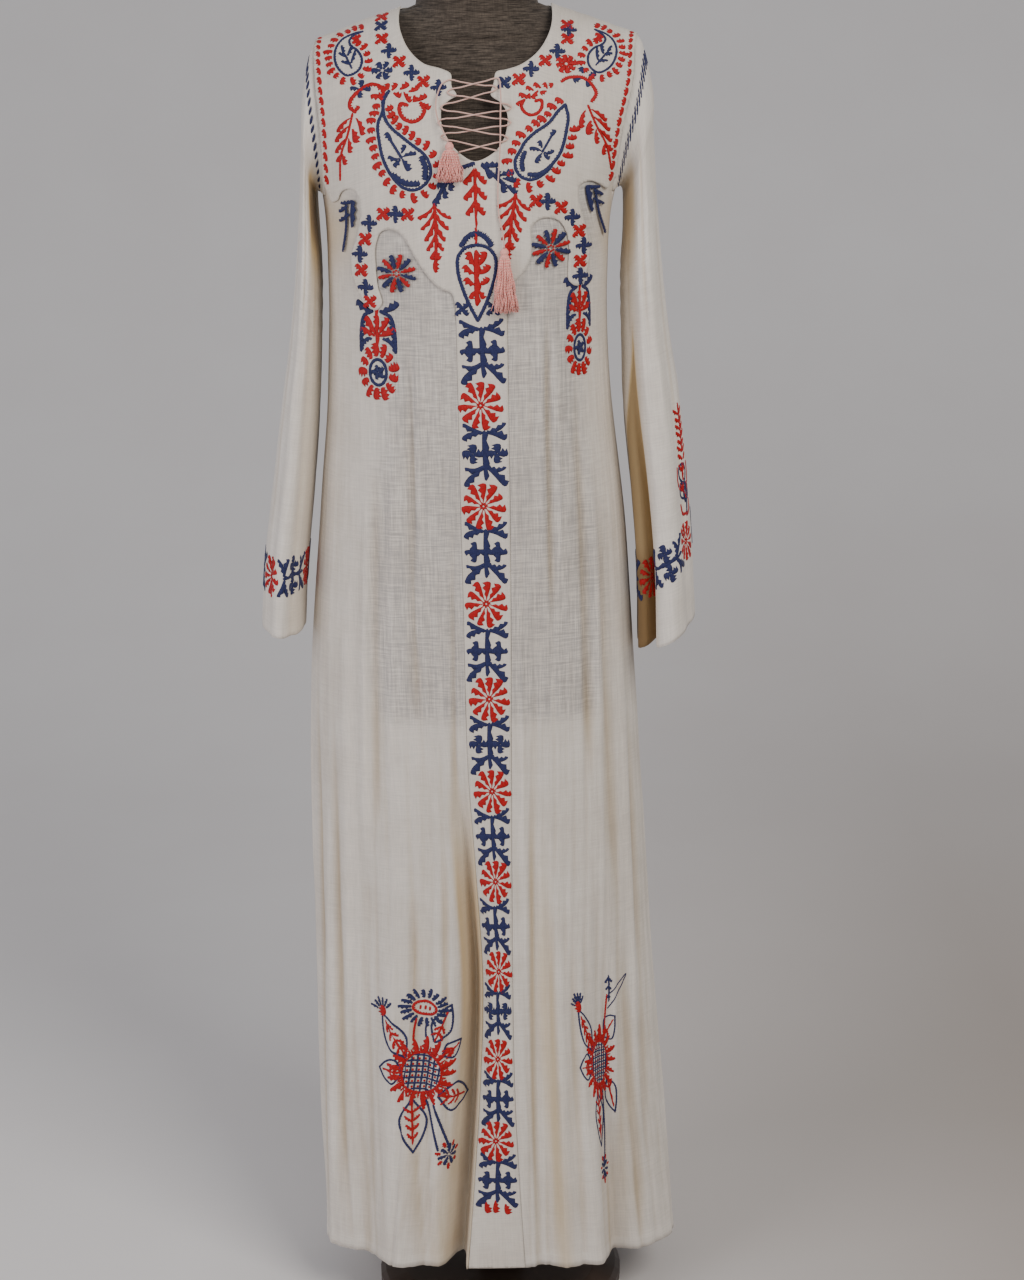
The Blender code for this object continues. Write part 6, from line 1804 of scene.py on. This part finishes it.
def camera():
    """The camera at the photo's place, a little above the shoulders and looking down."""
    data = bpy.data.cameras.new("camera")
    data.sensor_fit = "VERTICAL"
    data.sensor_height = 24
    data.lens = CAMERA_LENS
    obj = linked("camera", data)
    right = np.array((1.0, 0.0, 0.0))
    up = np.array((0.0, math.sin(CAMERA_TILT), math.cos(CAMERA_TILT)))
    right, up = right - CAMERA_ROLL * up, up + CAMERA_ROLL * right
    turn_to(obj, right, up, np.cross(right, up), CAMERA_AT)
    bpy.context.scene.camera = obj


WALL_AT = 4.4
BEND = 2.6  # radius of the curve from floor to wall
STAGE_HALF = 9.0
WALL_TOP = 5.0


def backdrop():
    """A pale floor that curves up into a wall behind the form, in one matt sheet. The eye gets a
    plain grey with painted shade that darkens it a little towards the lower right."""
    made, tree = finish_of("matt_pale_grey_paper", 0.92, 0.2)
    place = add_node(tree, "TexCoord", output="Object")
    cloudy = add_node(tree, "TexNoise", {"Vector": place, "Scale": 3.0, "Detail": 3.0})
    share = add_node(tree, "MapRange", (cloudy, 0.3, 0.7))
    tint = add_node(tree, "Mix", {0: share, 6: linear("#F1EEED"), 7: linear("#F4F2F1")}, **MIX)
    # Painted shade: the paper is mixed towards a darker grey to the right and low down, as if the light
    # fell off there.
    right = add_node(tree, "MapRange", (add_node(tree, "SeparateXYZ", (place,)), -0.4, 0.8, 0.15, 1.0))
    low = add_node(tree, "MapRange", (add_node(tree, "SeparateXYZ", (place,), 1), 3.8, 0.4))
    corner = add_node(tree, "Math", (right, low), operation="MULTIPLY")
    share = add_node(tree, "MapRange", (corner, 0.0, 1.0, 0.0, 0.9))
    tint = add_node(tree, "Mix", {0: share, 6: tint, 7: linear("#AAA097")}, **MIX)
    angle = np.linspace(0, math.pi / 2, 17)
    y = np.concatenate([[-STAGE_HALF], WALL_AT - BEND + BEND * np.sin(angle), [WALL_AT]])
    z = np.concatenate([[0.0], BEND - BEND * np.cos(angle), [WALL_TOP]])
    points = [(x, *spot) for spot in zip(y, z) for x in (-STAGE_HALF, STAGE_HALF)]
    faces = [(at, at + 1, at + 3, at + 2) for at in range(0, len(points) - 2, 2)]
    mesh = bpy.data.meshes.new("backdrop")
    mesh.from_pydata(points, [], faces)
    mesh.shade_smooth()
    mesh.materials.append(joined(made, tint))
    linked("backdrop", mesh)


def lamp(name, at, towards, size, power, colour):
    """A soft square area light aimed at a point."""
    data = bpy.data.lights.new(name, "AREA")
    data.shape = "SQUARE"
    data.size = size
    data.energy = power
    data.color = linear(colour)[:3]
    back = np.array(at) - np.array(towards)
    side = np.cross((0, 0, 1), back)
    turn_to(linked(name, data), side, np.cross(back, side), back, at)


def light():
    """A large soft key from the front right, a weak fill from the left, and a pale room."""
    lamp("key", (1.5, -2.2, 2.9), (0, 0, 1.0), 1.5, 67, "#FFFAF4")
    lamp("fill", (-2.0, -1.8, 1.6), (0, 0, 0.9), 1.6, 34, "#F8F4F8")
    world = bpy.data.worlds.new("room")
    world.use_nodes = True
    inputs = world.node_tree.nodes["Background"].inputs
    inputs["Color"].default_value = linear("#E2E3E8")
    inputs["Strength"].default_value = 0.44
    bpy.context.scene.world = world


# Painted crease shade: the material darkens cloth whose fold value lies below this, and lightens it
# above as a painted highlight.
PLAIN_SHADE = 0.6  # the `fold` value of cloth that lies flat


def form_behind(points):
    """How much of the dark form lies close behind the cloth: 0 to 1 at each point."""
    height = points[..., 2]
    wide = smooth_rows(TORSO[:, :2], height)[0]
    found = ease((wide + 0.010 - np.abs(points[..., 0])) / 0.035)
    return found * ease((height - 0.745) / 0.03) * 0.75 * (1 - 0.6 * ease((height - 1.36) / 0.06))


def panel_tan_shade(side, grid):
    """How strong a front panel's painted tan shade is: in its fold beside the band, and under the arm.
    """
    height = grid[..., 2]
    away = np.abs(grid[..., 0] - grid[:, :1, 0])
    if side == "left":
        edge = 0.006 + 0.034 * ease((0.36 - height) / 0.20)
        fold = (1 - ease((away - 0.022) / edge)) * (1 - 0.5 * bump_at(away, 0.011, 0.008))
        painted_tan_shade = fold * (0.66 - 0.30 * ease((0.46 - height) / 0.25)) * ease((0.72 - height) / 0.20)
    else:
        fold = bump_at(away, 0.035 + 0.013 * ease((0.50 - height) / 0.40), 0.010)
        painted_tan_shade = 0.34 * fold * ease((0.66 - height) / 0.25)
    # Painted tan shade under the arm.
    from_pit = np.hypot(np.abs(grid[..., 0]) - 0.165, height - 1.30)
    return painted_tan_shade + 0.35 * ease(1 - from_pit / 0.06)


def sleeve_painted_shade(side, turns, shares):
    """How strong the painted tan shade on the sleeve's inner side is, and the painted shade and
    highlight of its small creases.
    """
    along = shares[:, None]
    inner = ease((turns - 0.30) / 0.05) * ease((0.66 - turns) / 0.05)
    painted_tan_shade = 0.16 * inner * ease((along - 0.02) / 0.15)
    front = 1 - 0.72 * ease((turns - 0.42) / 0.08)
    deep = 0.80 if side == "left" else 0.40
    near_pit = ease((along - 0.02) / 0.06) * (1 - ease((along - 0.22) / 0.24))
    painted_tan_shade = painted_tan_shade + deep * inner * front * near_pit
    # Painted tan shade in the right sleeve's deep fold towards the cuff.
    if side == "right":
        reach = 0.362 + 0.14 * ease((along - 0.42) / 0.42)
        hidden = ease((turns - 0.352) / 0.008) * ease((reach - turns) / 0.02)
        painted_tan_shade = painted_tan_shade + hidden * (0.72 * ease((along - 0.42) / 0.08) + 0.26 * ease((along - 0.84) / 0.1))
    return np.clip(painted_tan_shade, 0, 1), np.clip(PLAIN_SHADE + 0.2 * sleeve_creases(turns, along), 0, 1)


def crease_shade(grid):
    """Painted shade and highlight of the creases: 0 in the valleys of the small creases, 1 on their
    ridges, and 0.6 on plain cloth.
    """
    height = grid[..., 2]
    bearing = np.arctan2(grid[..., 0], -grid[..., 1])
    high = crease_offset(bearing, height) * 1000
    main_fold = fold_offset(bearing, height) * 1000
    soft = 0.55 + 0.45 * (1 - ease((height - 0.70) / 0.15))
    return np.clip(PLAIN_SHADE + soft * (0.20 * high + 0.022 * main_fold), 0, 1)


def cloth_area(grid, closed=False):
    """The area of a grid's cells, in square metres."""
    around = np.concatenate([grid, grid[:, :1]], 1) if closed else grid
    a, b = around[1:, 1:] - around[:-1, :-1], around[1:, :-1] - around[:-1, 1:]
    return float(np.linalg.norm(np.cross(a, b), axis=2).sum() / 2)


def make_laces(finish):
    """Both laces: each one's piece, where it leaves the object, and its length."""
    laces = {}
    for side in SIDES:
        cord, points = lace(side, finish)
        laces[side] = (cord, tuple(float(v) for v in points[-1]), float(run_of(points)[-1]))
    return laces


def make_panels(heights, climbs, gauze):
    """The front panels: each side's piece and grid."""
    panels = {}
    for side in SIDES:
        grid = front_panel(side, heights, climbs)
        # How much of the form shows through, the painted tan shade, and the painted crease shade and
        # highlight.
        see_through_and_painted_shade = (form_behind(grid), panel_tan_shade(side, grid), crease_shade(grid))
        name = f"front_panel_{side}_cloth"
        panel = cloth_piece(name, grid, gauze, "gauze", False, side == "left", *see_through_and_painted_shade)
        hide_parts(f"front_panel_{side}")
        panels[side] = (panel, grid)
    return panels


SLEEVE_TURNS = 96


def make_sleeves(gauze):
    """The sleeves with their gussets: each side's sleeve and its grid."""
    turns = np.linspace(0, 1, SLEEVE_TURNS + 1)[:-1]
    shares = np.concatenate([[0.008, 0.02, 0.035], np.linspace(0.05, 0.985, 118), [0.993, 1.0]])
    sleeves = {}
    for side in SIDES:
        grid = sleeve(side, turns, shares)
        # Painted tan shade on the inner side, and the painted shade and highlight of the small creases.
        painted_tan_shade, shade = sleeve_painted_shade(side, turns, np.concatenate([[0], shares]))
        name, flip = f"sleeve_{side}_cloth", side == "left"
        arm = cloth_piece(name, grid, gauze, "sleeve_gauze", True, flip, 0.0, painted_tan_shade, shade)
        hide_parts(f"sleeve_{side}")
        sleeves[side] = (arm, grid)
        wedge = cloth_piece(f"gusset_{side}_cloth", gusset(side), gauze, "sleeve_gauze", flip=flip)
        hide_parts(f"gusset_{side}")
        wedge_area = cloth_area(gusset(side))
    return sleeves


def nearest(facing, heights, x, height):
    """A panel's row nearest a height, and its column nearest an x there."""
    row = int(np.argmin(np.abs(heights - height)))
    return row, int(np.argmin(np.abs(facing[row, :, 0] - x)))


# The hem's plants: x of the middle, and their stretch across and up
HEM_PLANTS = {"left": (-0.086, (1.0, 1.0)), "right": (0.121, (0.5, 1.04))}
HEM_PLANT_MIDDLE = 0.328
HEM_ROWS = 70
# The pendants beside the yoke: x and height of the middle, and their stretch across
PENDANTS = {"left": (-0.113, 1.168, 1.0), "right": (0.105, 1.190, 0.8)}
PENDANT_ROWS = 22


def sew_hem(side, facing, heights, finishes):
    """The plant over a front panel's hem. `facing` is the panel's grid, outer face out."""
    x, stretch = HEM_PLANTS[side]
    column = nearest(facing, heights, x, HEM_PLANT_MIDDLE)[1]
    lay = patch(facing, column, 0, HEM_ROWS, 0.11)
    motif = placed(sunflower(side == "left"), 0, 255, stretch=stretch)
    return sewn(f"hem_embroidery_{side}", [motif], lay, finishes)


def sew_pendant(side, facing, heights, finishes):
    """The pendant at the top of a front panel."""
    x, height, squeeze = PENDANTS[side]
    row, column = nearest(facing, heights, x, height)
    first = row - PENDANT_ROWS
    lay = patch(facing, column, first, len(heights), 0.06)
    start = 1000 * float(height - heights[first])
    drop = placed(pendant(), 1, start - 16, stretch=(squeeze, 1.0))
    return sewn(f"side_embroidery_{side}", [drop], lay, finishes)


CUFF_REPEATS = 4
# The cuffs' borders, in millimetres: shift round the cuff, height over it, and its swing
CUFF_BORDERS = {"left": (25, 68, 4), "right": (0, 90, 20)}
# Columns of a sleeve's grid that lie in front and outside
FRONT_COLUMN = {"left": 24, "right": 71}
OUTER_COLUMN = {"left": 84, "right": 86}
BORDER_ROWS, PLANT_ROWS, DASH_ROWS = 30, 60, 9


def sew_sleeve(side, grid, finishes):
    """A sleeve's border round the cuff, its plant up the arm and the dashes over its head."""
    shift, rise, swing = CUFF_BORDERS[side]
    facing = grid[::-1] if side == "left" else grid[::-1, ::-1]
    around = np.concatenate([facing, facing, facing], 1)
    front = SLEEVE_TURNS + FRONT_COLUMN[side]
    cuff = 1000 * float(run_of(np.vstack([grid[-1], grid[-1][:1]]))[-1])
    lay = patch(around, front, 0, BORDER_ROWS, cuff / 2000 + 0.05)
    border = []
    for index in range(CUFF_REPEATS):
        at = (index - CUFF_REPEATS // 2) * cuff / CUFF_REPEATS + shift
        way = 2 * math.pi * at / cuff
        lean = math.degrees(math.atan(2 * math.pi * swing / cuff * math.cos(way)))
        border.append(placed(cuff_repeat(index), at, rise + swing * math.sin(way), lean))
    trim = sewn(f"cuff_embroidery_{side}", border, lay, finishes)
    lay = patch(around, SLEEVE_TURNS + OUTER_COLUMN[side], 0, PLANT_ROWS, 0.05)
    plant = placed(sleeve_plant(), 0, 122)
    trim += sewn(f"arm_embroidery_{side}", [plant], lay, finishes)
    lay = patch(around, front, len(facing) - DASH_ROWS, len(facing), 0.16)
    places = [(x - 3.6, 31, x + 3.6, 44) for x in np.arange(-86, 96, 9.6)]
    dashes = stitches(NAVY, places, 2.4, (0.4, 0.4))
    return trim + sewn(f"armhole_embroidery_{side}", dashes, lay, finishes)


def finish_solid(node, finish):
    """Gives a solid of the part that stays in sight its finish."""
    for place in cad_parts[node].material_slots:
        place.material = finish


def main():
    camera()
    # Each twisted cotton's second colour is the painted shade in the grooves between its plies.
    cord_finish = twisted_cotton("twisted_cotton_cord_pale_pink", "#DDB5A8", "#B08A7C", 0.0022)
    yarn_finish = twisted_cotton("twisted_cotton_yarn_pink", "#FFBDB0", "#F0948A", 0.0030)
    laces = make_laces(cord_finish)
    gauze = cotton("crinkled_cotton_gauze_cream", "#DCD5CB", "#D2CABF", True)
    sleeve_gauze = cotton("crinkled_cotton_gauze_pale", "#E4DED5", "#DAD3C9", True)
    poplin = cotton("plain_woven_cotton_cream", "#DAD3C8", "#D2C9BD", False)
    red = embroidery_thread("stranded_cotton_red", "#AE1115", "#8A0B0E", "#BE1C20")
    navy = embroidery_thread("stranded_cotton_navy", "#252A54", "#191E3D", "#313767")
    cream = embroidery_thread("stranded_cotton_cream", "#DDD6C9", "#CBC2B2", "#E6E0D5")
    finishes = (("red", red), ("navy", navy), ("cream", cream))

    heights = skirt_heights(126)
    climbs = np.concatenate([np.linspace(0, 0.9, 25)[1:], np.linspace(0.91, 1.0, 8)])
    panels = make_panels(heights, climbs, gauze)
    back_grid = back_panel(heights, climbs)
    # How much of the form shows through, and the painted crease shade and highlight.
    see_through_and_painted_shade = {"sheer": form_behind(back_grid), "fold": crease_shade(back_grid)}
    back = cloth_piece("back_panel_cloth", back_grid, gauze, "gauze", **see_through_and_painted_shade)
    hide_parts("back_panel")
    sleeves = make_sleeves(sleeve_gauze)

    yoke, ring = yoke_and_band(poplin)
    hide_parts("front_yoke", "placket_band")
    yoke_trim = sewn("yoke_embroidery", yoke_stitches(), lay_seen, finishes)
    edges = arm_dashes() + [edge_stitches(ring)]
    yoke_trim += sewn("yoke_edge", edges, lay_yoke, finishes)
    yoke_trim += sewn("band_embroidery", band_stitches(), lay_band, finishes)

    trims = {"left": [], "right": []}
    for sew in (sew_hem, sew_pendant):
        for side, (_, grid) in panels.items():
            facing = grid[:, ::-1] if side == "left" else grid
            trims[side] += sew(side, facing, heights, finishes)
    for side, (arm, grid) in sleeves.items():
        trim = sew_sleeve(side, grid, finishes)

    for side, (cord, exit_at, length) in laces.items():
        tassel(side, yarn_finish)
    form_torso(form_linen())
    finish_solid("form_neck_cap", form_wood())
    finish_solid("form_pole", form_metal())
    finish_solid("form_base", form_metal())
    backdrop()
    light()


main()
